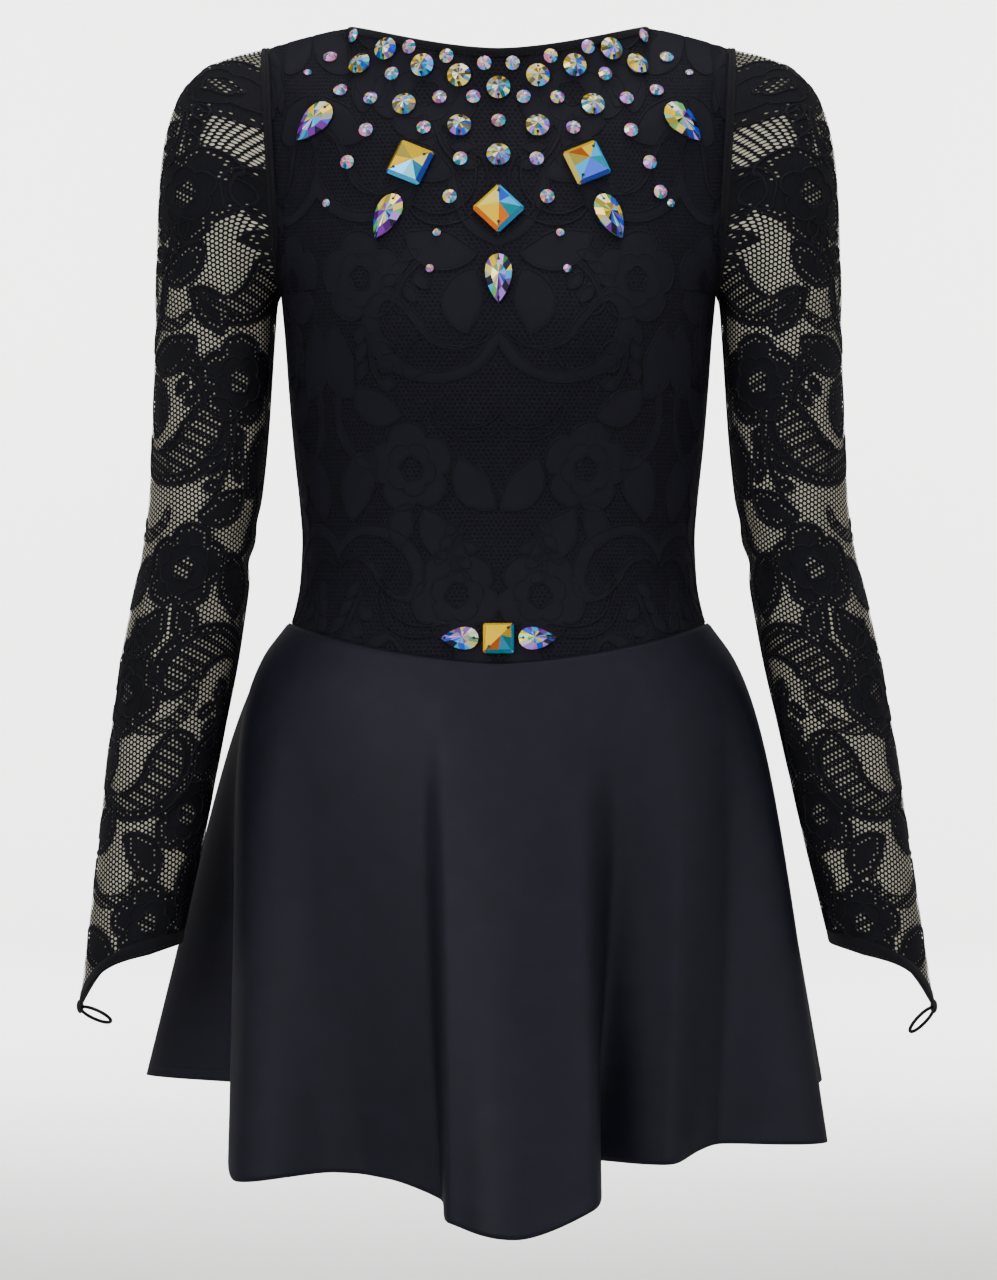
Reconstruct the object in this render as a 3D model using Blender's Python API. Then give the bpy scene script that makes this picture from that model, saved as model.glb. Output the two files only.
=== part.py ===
"""A long-sleeved dance dress, filled out as it is worn, with no wearer inside.

It has a fitted bodice, set-in lace sleeves with a point over the hand and a finger loop,
a flared circle skirt on a dipped waist seam, and large sew-on crystals.

Frame: metres, +Z up, the front faces -Y, and +X is the wearer's left. The origin lies midway
between the two shoulder seams, where the wearer's shoulders carry the dress.
Sizes below are in millimetres and become metres when a mesh is made.
"""

import math
from collections import namedtuple

import bpy
import numpy as np
from mathutils import Vector
from mathutils.bvhtree import BVHTree

MM = 0.001

# Cloth
BODICE_THICK = 1.6
SLEEVE_THICK = 1.2
CUFF_THICK = 1.8
SKIRT_THICK = 1.4
SEAM_GAP = 0.4

# Neckline and shoulders
SHOULDER_TIP = 143.0
SHOULDER_TIP_Z = -1.0
COLUMN_ANGLE = math.radians(10)
NECK_HALF = SHOULDER_TIP * math.sin(4 * COLUMN_ANGLE)
NECK_POINT_Z = 12.0
FRONT_NECK_Z = -7.5
FRONT_NECK_DEPTH = 52.0
BACK_NECK_Z = -60.0
BACK_NECK_DEPTH = 74.0
SHOULDER_ROUNDING = 70.0

# Armhole: an ellipse from the shoulder tip down to the underarm
UNDERARM = 133.9
UNDERARM_Z = -153.0
ARMHOLE_HALF_DEPTH = 50.0
ARM_STEPS = 10

# Waist seam, which dips at the centre front
SEAM_SIDE_Z = -358.0
SEAM_DIP = 22.0
SEAM_BACK_LIFT = 4.0
BODICE_STEPS = 9

# Bust: the cut gives two soft cups
BUST_HALF_SPACING = 58.0
BUST_Z = -172.0
BUST_FULLNESS = 7.0
BUST_SPREAD = 36.0

Body = namedtuple("Body", "height half_width front back")
BODY = (
    Body(5, 143.7, 46, 60),
    Body(-19, 142.2, 52, 68),
    Body(-60, 139.6, 66, 77),
    Body(-100, 137.2, 79, 83),
    Body(-130, 135.3, 88, 85),
    Body(-153, 133.9, 92, 84),
    Body(-180, 131.5, 94, 82),
    Body(-215, 129.0, 90, 78),
    Body(-250, 126.0, 83, 72),
    Body(-285, 122.3, 78, 68),
    Body(-304, 121.0, 77, 67),
    Body(-330, 122.2, 79, 71),
    Body(-350, 126.0, 83, 78),
    Body(-363, 130.4, 86.5, 84),
    Body(-390, 138.0, 92, 92),
)
SECTION_ROUNDNESS = 2.2

# Sleeve sections from the armhole to past the cuff. The first nine fan out from the underarm.
Sleeve = namedtuple("Sleeve", "outer outer_z inner inner_z half_depth centre_y")
SLEEVE = (
    Sleeve(SHOULDER_TIP, SHOULDER_TIP_Z, UNDERARM, UNDERARM_Z, ARMHOLE_HALF_DEPTH, 0),
    Sleeve(164.0, -6, 134.9, -153.4, 49.5, 0),
    Sleeve(181.0, -13, 135.6, -154.2, 49.0, 0),
    Sleeve(193.5, -25, 136.2, -155.2, 48.5, 0),
    Sleeve(202.5, -43, 136.8, -157.0, 47.5, 0),
    Sleeve(208.0, -68, 137.3, -160.0, 46.0, 0),
    Sleeve(210.5, -98, 137.8, -164.5, 44.5, 0),
    Sleeve(211.5, -130, 138.3, -172.0, 43.0, 0),
    Sleeve(212.0, -162, 139.2, -184.0, 41.5, 0),
    Sleeve(213.0, -200, 140.5, -205.0, 40.5, -1),
    Sleeve(214.3, -240, 142.8, -240.0, 40.0, -2),
    Sleeve(216.3, -280, 147.0, -280.0, 39.5, -3),
    Sleeve(221.0, -314, 152.3, -314.0, 39.0, -4),
    Sleeve(228.6, -348, 157.5, -348.0, 39.0, -6),
    Sleeve(235.5, -382, 163.2, -382.0, 38.5, -8),
    Sleeve(240.5, -416, 170.4, -416.0, 37.5, -11),
    Sleeve(245.6, -455, 178.3, -455.0, 36.0, -14),
    Sleeve(250.2, -495, 186.7, -495.0, 34.5, -18),
    Sleeve(254.8, -530, 194.7, -530.0, 33.0, -21),
    Sleeve(258.2, -557, 200.5, -557.0, 32.0, -23),
    Sleeve(264.5, -604, 208.5, -604.0, 29.0, -26),
)
FIRST_LEVEL_SECTION = 10
LAST_SHARED_SECTION = 17
ARM_COLUMNS = 2 * ARM_STEPS
# How far each forearm swings away from the body below the elbow, as the two arms differ a little
FOREARM_SWING = {"left": 4.5, "right": -4.5}
ELBOW_Z = -300.0

# Cuff: short on the inner side, with a point over the back of the hand
CUFF_INNER_Z = -553.0
CUFF_SLANT = 17.0
CUFF_POINT = 23.0
CUFF_SLANT_SHAPE = 1.2
CUFF_POINT_SHAPE = 6.0
CUFF_BAND = 9.0
CUFF_PROUD = 0.3
SLEEVE_END_STEPS = 4
CUFF_STEPS = 3

# Elastic finger loop
LOOP_CORD = 2.2
LOOP_HALF_LENGTH = 10.0
LOOP_HALF_WIDTH = 6.0
LOOP_SLOPE = {"left": math.radians(46), "right": math.radians(24)}
LOOP_TURN = math.radians(35)
LOOP_POINTS = 24

# Skirt
SKIRT_STEPS = 11
SKIRT_COLUMNS = 54
HEM_HALF_WIDTH = 203.0
HEM_FRONT = 140.0
HEM_BACK = 180.0
HIP_SHARE = 0.42
HIP_REACH = 0.12
FOLD_START = 0.05
FOLD_GROWTH = 1.15

# The hem's folds, one row a crest or a valley, going from the front centre towards +X.
# The waist angle says where the fold starts on the waist seam and the hem angle where it ends, in
# degrees from the front centre. The reach is from the skirt's axis and the height is the hem's.
Fold = namedtuple("Fold", "waist_angle hem_angle reach height")
FOLDS = (
    Fold(4, 3, 192, -707),
    Fold(15, 17, 184, -693),
    Fold(28, 29, 112, -675),
    Fold(43, 43, 150, -676),
    Fold(58, 58, 154, -668),
    Fold(75, 75, 206, -671),
    Fold(90, 91, 176, -655),
    Fold(105, 105, 212, -646),
    Fold(122, 122, 168, -652),
    Fold(139, 139, 212, -644),
    Fold(156, 156, 160, -654),
    Fold(172, 172, 205, -645),
    Fold(188, 188, 158, -654),
    Fold(205, 205, 205, -645),
    Fold(222, 222, 160, -652),
    Fold(238, 238, 212, -640),
    Fold(248, 248, 184, -646),
    Fold(257, 257, 229, -643),
    Fold(272, 274, 158, -641),
    Fold(298, 300, 181, -689),
    Fold(316, 316, 140, -682),
    Fold(330, 330, 130, -684),
    Fold(343, 346, 137, -693),
    Fold(349, 351, 180, -700),
)

# Sew-on crystals: kinds with their widths, heights and thicknesses, and half of the layout. Those off
# the centre line are sewn on both sides. The turn is from straight down towards the outside.
Kind = namedtuple("Kind", "shape width length thick")
KINDS = {
    "round": Kind("round", 14.4, 14.4, 4.6),
    "square": Kind("square", 22.8, 22.8, 6.0),
    "drop": Kind("drop", 17.4, 30.0, 6.0),
    "waist_square": Kind("square", 18.5, 18.5, 5.4),
    "waist_drop": Kind("drop", 15.0, 22.6, 5.2),
}
Stone = namedtuple("Stone", "kind across height turn")
STONES = (
    Stone("round", 84.3, -14.3, 0),
    Stone("round", 68.2, -5.7, 0),
    Stone("round", 45.9, -16.8, 0),
    Stone("round", 23.7, -23.6, 0),
    Stone("round", 0.0, -31.3, 0),
    Stone("round", 57.0, -41.3, 0),
    Stone("round", 23.6, -55.2, 0),
    Stone("round", 0.0, -73.5, 0),
    Stone("square", 52.8, -78.4, 23),
    Stone("square", 0.0, -107.0, 45),
    Stone("drop", 112.0, -51.7, 40),
    Stone("drop", 67.0, -111.2, 22),
    Stone("drop", 0.0, -149.2, 0),
    Stone("waist_square", 0.0, -364.0, 0),
    Stone("waist_drop", 23.0, -364.0, 90),
)
STONE_CLEARANCE = 0.45
STONE_SIDES = 12
STONE_GIRDLE = 1.3
STONE_TABLE = 0.45
SQUARE_CORNER = 0.12
DROP_TAPER = 0.75

BLACK_LACE = (0.012, 0.012, 0.016, 1.0)
BLACK_SATIN = (0.014, 0.014, 0.020, 1.0)
CRYSTAL = (0.62, 0.60, 0.45, 1.0)


def clear_scene():
    for obj in list(bpy.data.objects):
        bpy.data.objects.remove(obj, do_unlink=True)


def finish_material(name, colour, roughness, metallic=0.0):
    material = bpy.data.materials.new(name)
    material.use_nodes = True
    shader = material.node_tree.nodes["Principled BSDF"]
    shader.inputs["Base Color"].default_value = colour
    shader.inputs["Roughness"].default_value = roughness
    shader.inputs["Metallic"].default_value = metallic
    material.diffuse_color = colour
    return material


def smooth_between(positions, values, at):
    """Reads a table column at a position, along a smooth curve that never overshoots its rows."""
    order = np.argsort(positions)
    xs = np.asarray(positions, float)[order]
    ys = np.asarray(values, float)[order]
    at = min(max(at, xs[0]), xs[-1])
    steps = np.diff(xs)
    slopes = np.diff(ys) / steps
    i = int(min(np.searchsorted(xs, at, side="right") - 1, len(xs) - 2))

    def tangent(k):
        if k in (0, len(xs) - 1):
            return slopes[0 if k == 0 else -1]
        before, after = slopes[k - 1], slopes[k]
        return 0.0 if before * after <= 0 else 2 * before * after / (before + after)

    s = (at - xs[i]) / steps[i]
    rise = ys[i] * (1 + 2 * s) * (1 - s) ** 2 + ys[i + 1] * s * s * (3 - 2 * s)
    return rise + steps[i] * (tangent(i) * s * (1 - s) ** 2 - tangent(i + 1) * s * s * (1 - s))


def body_at(z, column):
    return smooth_between([b.height for b in BODY], [getattr(b, column) for b in BODY], z)


def sleeve_at(z, column):
    level = SLEEVE[FIRST_LEVEL_SECTION:]
    return smooth_between([s.outer_z for s in level], [getattr(s, column) for s in level], z)


def armhole_depth(z):
    """How far the armhole seam lies in front of, or behind, the shoulder line at this height."""
    middle = (SHOULDER_TIP_Z + UNDERARM_Z) / 2
    half = (SHOULDER_TIP_Z - UNDERARM_Z) / 2
    share = min(abs(z - middle) / half, 1.0) if z > UNDERARM_Z else 1.0
    return ARMHOLE_HALF_DEPTH * math.sqrt(1 - share * share)


def top_edge(side, across):
    """Height and depth of the neckline and shoulder seam. Side is -1 in front and +1 behind."""
    x = abs(across)
    if x >= NECK_HALF - 1e-6:
        share = (x - NECK_HALF) / (SHOULDER_TIP - NECK_HALF)
        return NECK_POINT_Z + (SHOULDER_TIP_Z - NECK_POINT_Z) * share**1.2, 0.0
    share = x / NECK_HALF
    if side < 0:
        height = FRONT_NECK_Z + (NECK_POINT_Z - FRONT_NECK_Z) * share**1.7
        return height, FRONT_NECK_DEPTH * (1 - share**2) ** 0.6
    height = NECK_POINT_Z + (BACK_NECK_Z - NECK_POINT_Z) * (1 - share**2) ** 0.8
    return height, BACK_NECK_DEPTH * (1 - share**2) ** 0.6


def waist_seam_z(side, across_share):
    if side < 0:
        return SEAM_SIDE_Z - SEAM_DIP * (1 - abs(across_share) ** 1.6)
    return SEAM_SIDE_Z + SEAM_BACK_LIFT * (1 - abs(across_share) ** 2)


def body_point(side, share, z, top_z, top_depth):
    """A point of the body's outline, share being its place across, from -1 to 1."""
    column = "front" if side < 0 else "back"
    round_share = max(1 - abs(share) ** SECTION_ROUNDNESS, 0.0) ** 0.5
    edge = armhole_depth(z) * share**4
    depth = math.hypot(edge, body_at(z, column) * round_share)
    x = share * body_at(z, "half_width")
    if side < 0:
        for centre in (-BUST_HALF_SPACING, BUST_HALF_SPACING):
            off = math.hypot(x - centre, z - BUST_Z) / BUST_SPREAD
            depth += BUST_FULLNESS * math.exp(-off * off) * round_share
    reach = SHOULDER_ROUNDING * (1 - abs(share) ** 6) + 1e-6
    rounding = math.sin(math.pi / 2 * min(1.0, (top_z - z) / reach))
    return Vector((x, side * (top_depth + (depth - top_depth) * rounding), z))


def bodice_grid(side):
    """Outer points of the front or back bodice: rows run down, columns from -X to +X."""
    columns = int(round(math.pi / COLUMN_ANGLE))
    rows = []
    for row in range(ARM_STEPS + BODICE_STEPS + 1):
        points = []
        for column in range(columns + 1):
            share = math.sin(-math.pi / 2 + column * COLUMN_ANGLE)
            top_z, top_depth = top_edge(side, share * SHOULDER_TIP)
            if row <= ARM_STEPS:
                down = (1 - math.cos(math.pi * row / ARM_STEPS)) / 2
                z = top_z + (UNDERARM_Z - top_z) * down
            else:
                down = (row - ARM_STEPS) / BODICE_STEPS
                z = UNDERARM_Z + (waist_seam_z(side, share) - UNDERARM_Z) * down
            point = body_point(side, share, z, top_z, top_depth)
            if abs(point.y) < SEAM_GAP / 2:
                point.y = side * SEAM_GAP / 2
            points.append(point)
        rows.append(points)
    return rows


def skirt_waist_point(side, angle):
    share = math.sin(angle)
    z = waist_seam_z(side, share)
    return body_point(side, share, z, NECK_POINT_Z, 0.0) - Vector((0, 0, SEAM_GAP))


def hem_at(angle, column):
    """Reads a column of the folds table at a waist angle, round and round the skirt."""
    degrees, values = [], []
    for turn in (-360, 0, 360):
        for fold in FOLDS:
            degrees.append(fold.waist_angle + turn)
            values.append(getattr(fold, column) + (turn if column == "hem_angle" else 0))
    return smooth_between(degrees, values, math.degrees(angle) % 360)


def skirt_grid(side):
    """Outer points of the front or back skirt: rows run down, columns from -X to +X."""
    rows = []
    for row in range(SKIRT_STEPS + 1):
        down = row / SKIRT_STEPS
        flare = HIP_SHARE * (1 - math.exp(-down / HIP_REACH)) + (1 - HIP_SHARE) * down
        fold_share = max(down - FOLD_START, 0.0) / (1 - FOLD_START)
        points = []
        for column in range(SKIRT_COLUMNS + 1):
            across = math.pi * (column / SKIRT_COLUMNS - 0.5)
            around = across if side < 0 else math.pi - across
            waist = skirt_waist_point(side, across)
            depth = HEM_FRONT if side < 0 else HEM_BACK
            plain = Vector((HEM_HALF_WIDTH * math.sin(around), -depth * math.cos(around), 0))
            reach = hem_at(around, "reach")
            lean = math.radians(hem_at(around, "hem_angle"))
            folded = Vector((reach * math.sin(lean), -reach * math.cos(lean), 0))
            point = waist.lerp(plain, flare) + (folded - plain) * fold_share**FOLD_GROWTH
            point.z = waist.z + (hem_at(around, "height") - waist.z) * down
            if column in (0, SKIRT_COLUMNS):
                point.y = side * SEAM_GAP / 2
            points.append(point)
        rows.append(points)
    return rows


def cuff_edge_z(turn):
    """Height of the cuff's lower edge at an angle round the wrist, 0 being the outer side."""
    share = (1 + math.cos(turn)) / 2
    return CUFF_INNER_Z - CUFF_SLANT * share**CUFF_SLANT_SHAPE - CUFF_POINT * share**CUFF_POINT_SHAPE


def swing(name, z):
    drop = max(ELBOW_Z - z, 0.0) / (ELBOW_Z - CUFF_INNER_Z)
    return FOREARM_SWING[name] * drop


def level_sleeve_point(name, turn, z, proud=0.0):
    outer, inner = sleeve_at(z, "outer"), sleeve_at(z, "inner")
    x = (outer + inner) / 2 + ((outer - inner) / 2 + proud) * math.cos(turn) + swing(name, z)
    y = sleeve_at(z, "centre_y") - (sleeve_at(z, "half_depth") + proud) * math.sin(turn)
    return Vector((x, y, z))


def sleeve_grid(name):
    """Outer points of the sleeve on the +X side: rows run down, columns once round."""
    rows = []
    for number, section in enumerate(SLEEVE[: LAST_SHARED_SECTION + 1]):
        outer = Vector((section.outer, section.centre_y, section.outer_z))
        inner = Vector((section.inner, section.centre_y, section.inner_z))
        points = []
        for column in range(ARM_COLUMNS):
            turn = 2 * math.pi * column / ARM_COLUMNS
            point = (outer + inner) / 2 + (outer - inner) / 2 * math.cos(turn)
            point.y -= section.half_depth * math.sin(turn)
            point.x += swing(name, point.z)
            if number == 0:
                point.x = body_at(point.z, "half_width") + SEAM_GAP
            points.append(point)
        rows.append(points)
    start = SLEEVE[LAST_SHARED_SECTION].outer_z
    for step in range(1, SLEEVE_END_STEPS + 1):
        points = []
        for column in range(ARM_COLUMNS):
            turn = 2 * math.pi * column / ARM_COLUMNS
            end = cuff_edge_z(turn) + CUFF_BAND
            z = start + (end - start) * step / SLEEVE_END_STEPS
            points.append(level_sleeve_point(name, turn, z))
        rows.append(points)
    return rows


def cuff_grid(name):
    rows = []
    for step in range(CUFF_STEPS + 1):
        points = []
        for column in range(ARM_COLUMNS):
            turn = 2 * math.pi * column / ARM_COLUMNS
            top = cuff_edge_z(turn) + CUFF_BAND - SEAM_GAP
            z = top + (cuff_edge_z(turn) - top) * step / CUFF_STEPS
            points.append(level_sleeve_point(name, turn, z, CUFF_PROUD))
        rows.append(points)
    return rows


def grid_normals(grid, closed, flat_axis):
    """Outward normals of a grid. flat_axis gives, for a point on a seam, the axes its normal leaves out."""
    points = np.array([[tuple(p) for p in row] for row in grid])
    if closed:
        across = np.roll(points, -1, axis=1) - np.roll(points, 1, axis=1)
    else:
        across = np.gradient(points, axis=1)
    normals = np.cross(across, np.gradient(points, axis=0))
    outward = points - points.mean(axis=1, keepdims=True)
    outward[:, :, 2] = 0
    if (normals * outward).sum() < 0:
        normals = -normals
    for i, row in enumerate(grid):
        for j in range(len(row)):
            for axis in flat_axis(i, j):
                normals[i, j, axis] = 0
    return normals / np.linalg.norm(normals, axis=2, keepdims=True)


def wall(name, grid, thick, closed, flat_axis, material, mirrored=False):
    """A closed cloth wall: the grid's points are its outside, and its inside lies one thickness in."""
    outer = np.array([[tuple(p) for p in row] for row in grid])
    inner = outer - thick * grid_normals(grid, closed, flat_axis)
    rows, columns = outer.shape[:2]
    points = np.concatenate([outer.reshape(-1, 3), inner.reshape(-1, 3)]) * MM
    if mirrored:
        points[:, 0] *= -1

    def number(layer, row, column):
        return (layer * rows + row) * columns + column % columns

    faces = []
    spans = columns if closed else columns - 1
    for row in range(rows - 1):
        for column in range(spans):
            for layer in (0, 1):
                face = [
                    number(layer, row, column),
                    number(layer, row, column + 1),
                    number(layer, row + 1, column + 1),
                    number(layer, row + 1, column),
                ]
                faces.append(face if layer else face[::-1])
    for row, flip in ((0, False), (rows - 1, True)):
        for column in range(spans):
            face = [
                number(0, row, column),
                number(0, row, column + 1),
                number(1, row, column + 1),
                number(1, row, column),
            ]
            faces.append(face[::-1] if flip else face)
    if not closed:
        for column, flip in ((0, True), (columns - 1, False)):
            for row in range(rows - 1):
                face = [
                    number(0, row, column),
                    number(0, row + 1, column),
                    number(1, row + 1, column),
                    number(1, row, column),
                ]
                faces.append(face[::-1] if flip else face)
    return solid(name, points, faces, material)


def solid(name, points, faces, material):
    """One closed body from points and faces, turned so that its faces point out."""
    mesh = bpy.data.meshes.new(name)
    mesh.from_pydata([tuple(p) for p in points], [], faces)
    mesh.validate()
    mesh.calc_loop_triangles()
    volume = 0.0
    for triangle in mesh.loop_triangles:
        a, b, c = (mesh.vertices[v].co for v in triangle.vertices)
        volume += a.dot(b.cross(c))
    if volume < 0:
        mesh.flip_normals()
    mesh.shade_smooth()
    mesh.set_sharp_from_angle(angle=math.radians(40))
    mesh.materials.append(material)
    obj = bpy.data.objects.new(name, mesh)
    bpy.context.scene.collection.objects.link(obj)
    return obj


def bodice_seams(side):
    """Which axes a bodice wall's thickness leaves out on its seams."""
    columns = int(round(math.pi / COLUMN_ANGLE))
    neck_columns = range(6, columns - 5)

    def flat_axis(row, column):
        axes = []
        if row == 0 and column not in neck_columns:
            axes.append(1)
        if column in (0, columns):
            axes.append(1 if row >= ARM_STEPS else 0)
        if row == ARM_STEPS + BODICE_STEPS:
            axes.append(2)
        return axes

    return flat_axis


def skirt_seams(row, column):
    axes = []
    if column in (0, SKIRT_COLUMNS):
        axes.append(1)
    if row == 0:
        axes.append(2)
    return axes


def sleeve_seams(row, column):
    if row == LAST_SHARED_SECTION + SLEEVE_END_STEPS:
        return [2]
    return [0] if row == 0 else []


def cuff_seams(row, column):
    return [2]


def make_bodice(material):
    panels = {}
    for name, side in (("bodice_front", -1), ("bodice_back", 1)):
        grid = bodice_grid(side)
        panels[name] = wall(name, grid, BODICE_THICK, False, bodice_seams(side), material)
    return panels


def make_skirt(material):
    for name, side in (("skirt_front", -1), ("skirt_back", 1)):
        wall(name, skirt_grid(side), SKIRT_THICK, False, skirt_seams, material)


def make_finger_loop(name, mirrored, material):
    """A ring of elastic cord whose root lies just under the cuff's point."""
    tip_z = cuff_edge_z(0)
    tip = level_sleeve_point(name, 0, tip_z)
    sign = -1 if mirrored else 1
    slope = LOOP_SLOPE[name]
    along = Vector((-math.cos(slope), 0, -math.sin(slope)))
    beside = Vector((math.sin(slope), 0, -math.cos(slope)))
    across = Vector((0, 1, 0)) * math.cos(LOOP_TURN) + beside * math.sin(LOOP_TURN)
    root = tip + Vector((-CUFF_THICK / 2, 0, -LOOP_CORD / 2 - SEAM_GAP))
    centre = root + along * LOOP_HALF_LENGTH
    curve = bpy.data.curves.new("finger_loop_" + name, "CURVE")
    curve.dimensions = "3D"
    curve.bevel_depth = LOOP_CORD / 2 * MM
    curve.bevel_resolution = 1
    curve.use_fill_caps = True
    spline = curve.splines.new("POLY")
    spline.points.add(LOOP_POINTS - 1)
    for i in range(LOOP_POINTS):
        turn = 2 * math.pi * i / LOOP_POINTS
        point = centre - along * LOOP_HALF_LENGTH * math.cos(turn)
        point += across * LOOP_HALF_WIDTH * math.sin(turn)
        spline.points[i].co = (sign * point.x * MM, point.y * MM, point.z * MM, 1)
    spline.use_cyclic_u = True
    curve.materials.append(material)
    obj = bpy.data.objects.new("finger_loop_" + name, curve)
    bpy.context.scene.collection.objects.link(obj)


def make_sleeves(lace, trim):
    for name, mirrored in (("left", False), ("right", True)):
        sleeve = sleeve_grid(name)
        wall("sleeve_" + name, sleeve, SLEEVE_THICK, True, sleeve_seams, lace, mirrored)
        wall("cuff_band_" + name, cuff_grid(name), CUFF_THICK, True, cuff_seams, trim, mirrored)
        make_finger_loop(name, mirrored, trim)


def stone_outline(shape):
    """The outline of a stone one unit wide and long, its point facing down, once round."""
    if shape == "square":
        near, far = 0.5 - SQUARE_CORNER, 0.5
        corners = []
        for u, v in ((1, 1), (-1, 1), (-1, -1), (1, -1)):
            pair = [(u * far, v * near), (u * near, v * far)]
            corners += pair if u * v > 0 else pair[::-1]
        return corners
    points = []
    for i in range(STONE_SIDES):
        turn = 2 * math.pi * i / STONE_SIDES
        width = 0.5 * math.sin(turn)
        if shape == "drop":
            width *= math.sin(turn / 2) ** DROP_TAPER / 0.86
        points.append((width, -0.5 * math.cos(turn)))
    return points


def stone_frame(panel, stone, side, outline):
    """Where a stone lies on the panel: its middle and its sideways, upward and outward directions."""
    start = Vector((side * stone.across, -300, stone.height))

    def on_panel(u, v):
        return panel.ray_cast(start + Vector((u, 0, v)), Vector((0, 1, 0)))[0]

    radius = KINDS[stone.kind].width * 0.4
    sideways = (on_panel(radius, 0) - on_panel(-radius, 0)).normalized()
    upward = (on_panel(0, radius) - on_panel(0, -radius)).normalized()
    outward = sideways.cross(upward).normalized()
    upward = outward.cross(sideways)
    turn = math.radians(stone.turn) * (side or 1)
    across = sideways * math.cos(turn) + upward * math.sin(turn)
    along = upward * math.cos(turn) - sideways * math.sin(turn)
    middle = on_panel(0, 0)
    lifts = []
    for share in (0.0, 0.5, 1.0):
        for u, v in outline:
            point = middle + (across * u + along * v) * share
            hit = panel.ray_cast(point + outward * 30, -outward)[0]
            lifts.append((hit - point).dot(outward) if hit else 0.0)
    return middle + outward * (max(lifts) + STONE_CLEARANCE), across, along, outward


def make_stone(name, panel, stone, side, material):
    kind = KINDS[stone.kind]
    outline = [(u * kind.width, v * kind.length) for u, v in stone_outline(kind.shape)]
    middle, across, along, outward = stone_frame(panel, stone, side, outline)
    points = []
    for share, height in ((0.96, 0.0), (1.0, STONE_GIRDLE), (STONE_TABLE, kind.thick)):
        for u, v in outline:
            points.append((middle + (across * u + along * v) * share + outward * height) * MM)
    count = len(outline)
    faces = [list(range(count)), list(range(2 * count, 3 * count))[::-1]]
    for level in (0, count):
        for i in range(count):
            after = (i + 1) % count
            faces.append([level + i, level + count + i, level + count + after, level + after])
    solid(name, points, faces, material)


def make_stones(bodice_front, material):
    mesh = bodice_front.data
    mesh.calc_loop_triangles()
    corners = [vertex.co / MM for vertex in mesh.vertices]
    panel = BVHTree.FromPolygons(corners, [t.vertices[:] for t in mesh.loop_triangles])
    counts = {}
    for stone in STONES:
        for side in (-1, 1) if stone.across else (0,):
            counts[stone.kind] = counts.get(stone.kind, 0) + 1
            name = "crystal_%s_%d" % (stone.kind, counts[stone.kind])
            make_stone(name, panel, stone, side, material)


def main():
    clear_scene()
    lace = finish_material("black_lace", BLACK_LACE, 0.7)
    satin = finish_material("black_satin", BLACK_SATIN, 0.45)
    crystal = finish_material("crystal", CRYSTAL, 0.12)
    panels = make_bodice(lace)
    make_sleeves(lace, satin)
    make_skirt(satin)
    make_stones(panels["bodice_front"], crystal)


main()
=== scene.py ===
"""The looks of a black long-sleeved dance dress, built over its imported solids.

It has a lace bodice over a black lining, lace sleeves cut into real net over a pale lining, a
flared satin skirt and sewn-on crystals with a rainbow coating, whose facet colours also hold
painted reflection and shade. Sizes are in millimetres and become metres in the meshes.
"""

import math
from collections import namedtuple

import bpy
import numpy as np
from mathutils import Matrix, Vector
from mathutils.bvhtree import BVHTree


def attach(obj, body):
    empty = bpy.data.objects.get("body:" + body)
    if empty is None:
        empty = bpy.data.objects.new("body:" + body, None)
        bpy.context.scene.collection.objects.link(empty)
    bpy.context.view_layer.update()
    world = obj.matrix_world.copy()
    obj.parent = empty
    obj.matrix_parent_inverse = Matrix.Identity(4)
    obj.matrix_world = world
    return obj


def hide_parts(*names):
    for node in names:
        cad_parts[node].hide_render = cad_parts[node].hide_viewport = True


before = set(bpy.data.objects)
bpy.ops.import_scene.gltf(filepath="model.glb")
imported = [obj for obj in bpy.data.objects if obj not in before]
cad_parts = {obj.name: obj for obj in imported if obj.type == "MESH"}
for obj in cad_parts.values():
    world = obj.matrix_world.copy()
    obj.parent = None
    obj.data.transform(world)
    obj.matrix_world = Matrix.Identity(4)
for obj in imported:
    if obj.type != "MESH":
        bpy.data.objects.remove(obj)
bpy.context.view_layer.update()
bpy.ops.object.select_all(action="DESELECT")

MM = 0.001

# Neckline, shoulders and armhole
SHOULDER_TIP = 143.0
SHOULDER_TIP_Z = -1.0
NECK_HALF = SHOULDER_TIP * math.sin(math.radians(40))
NECK_POINT_Z = 12.0
FRONT_NECK_Z = -7.5
FRONT_NECK_DEPTH = 52.0
BACK_NECK_Z = -60.0
BACK_NECK_DEPTH = 74.0
SHOULDER_ROUNDING = 70.0
UNDERARM = 133.9
UNDERARM_Z = -153.0
ARMHOLE_HALF_DEPTH = 50.0

# Waist seam
SEAM_SIDE_Z = -358.0
SEAM_DIP = 22.0
SEAM_BACK_LIFT = 4.0

# Bust
BUST_HALF_SPACING = 58.0
BUST_Z = -172.0
BUST_FULLNESS = 7.0
BUST_SPREAD = 36.0

Body = namedtuple("Body", "height half_width front back")
BODY = (
    Body(5, 143.7, 46, 60),
    Body(-19, 142.2, 52, 68),
    Body(-60, 139.6, 66, 77),
    Body(-100, 137.2, 79, 83),
    Body(-130, 135.3, 88, 85),
    Body(-153, 133.9, 92, 84),
    Body(-180, 131.5, 94, 82),
    Body(-215, 129.0, 90, 78),
    Body(-250, 126.0, 83, 72),
    Body(-285, 122.3, 78, 68),
    Body(-304, 121.0, 77, 67),
    Body(-330, 122.2, 79, 71),
    Body(-350, 126.0, 83, 78),
    Body(-363, 130.4, 86.5, 84),
    Body(-390, 138.0, 92, 92),
)
SECTION_ROUNDNESS = 2.2

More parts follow.
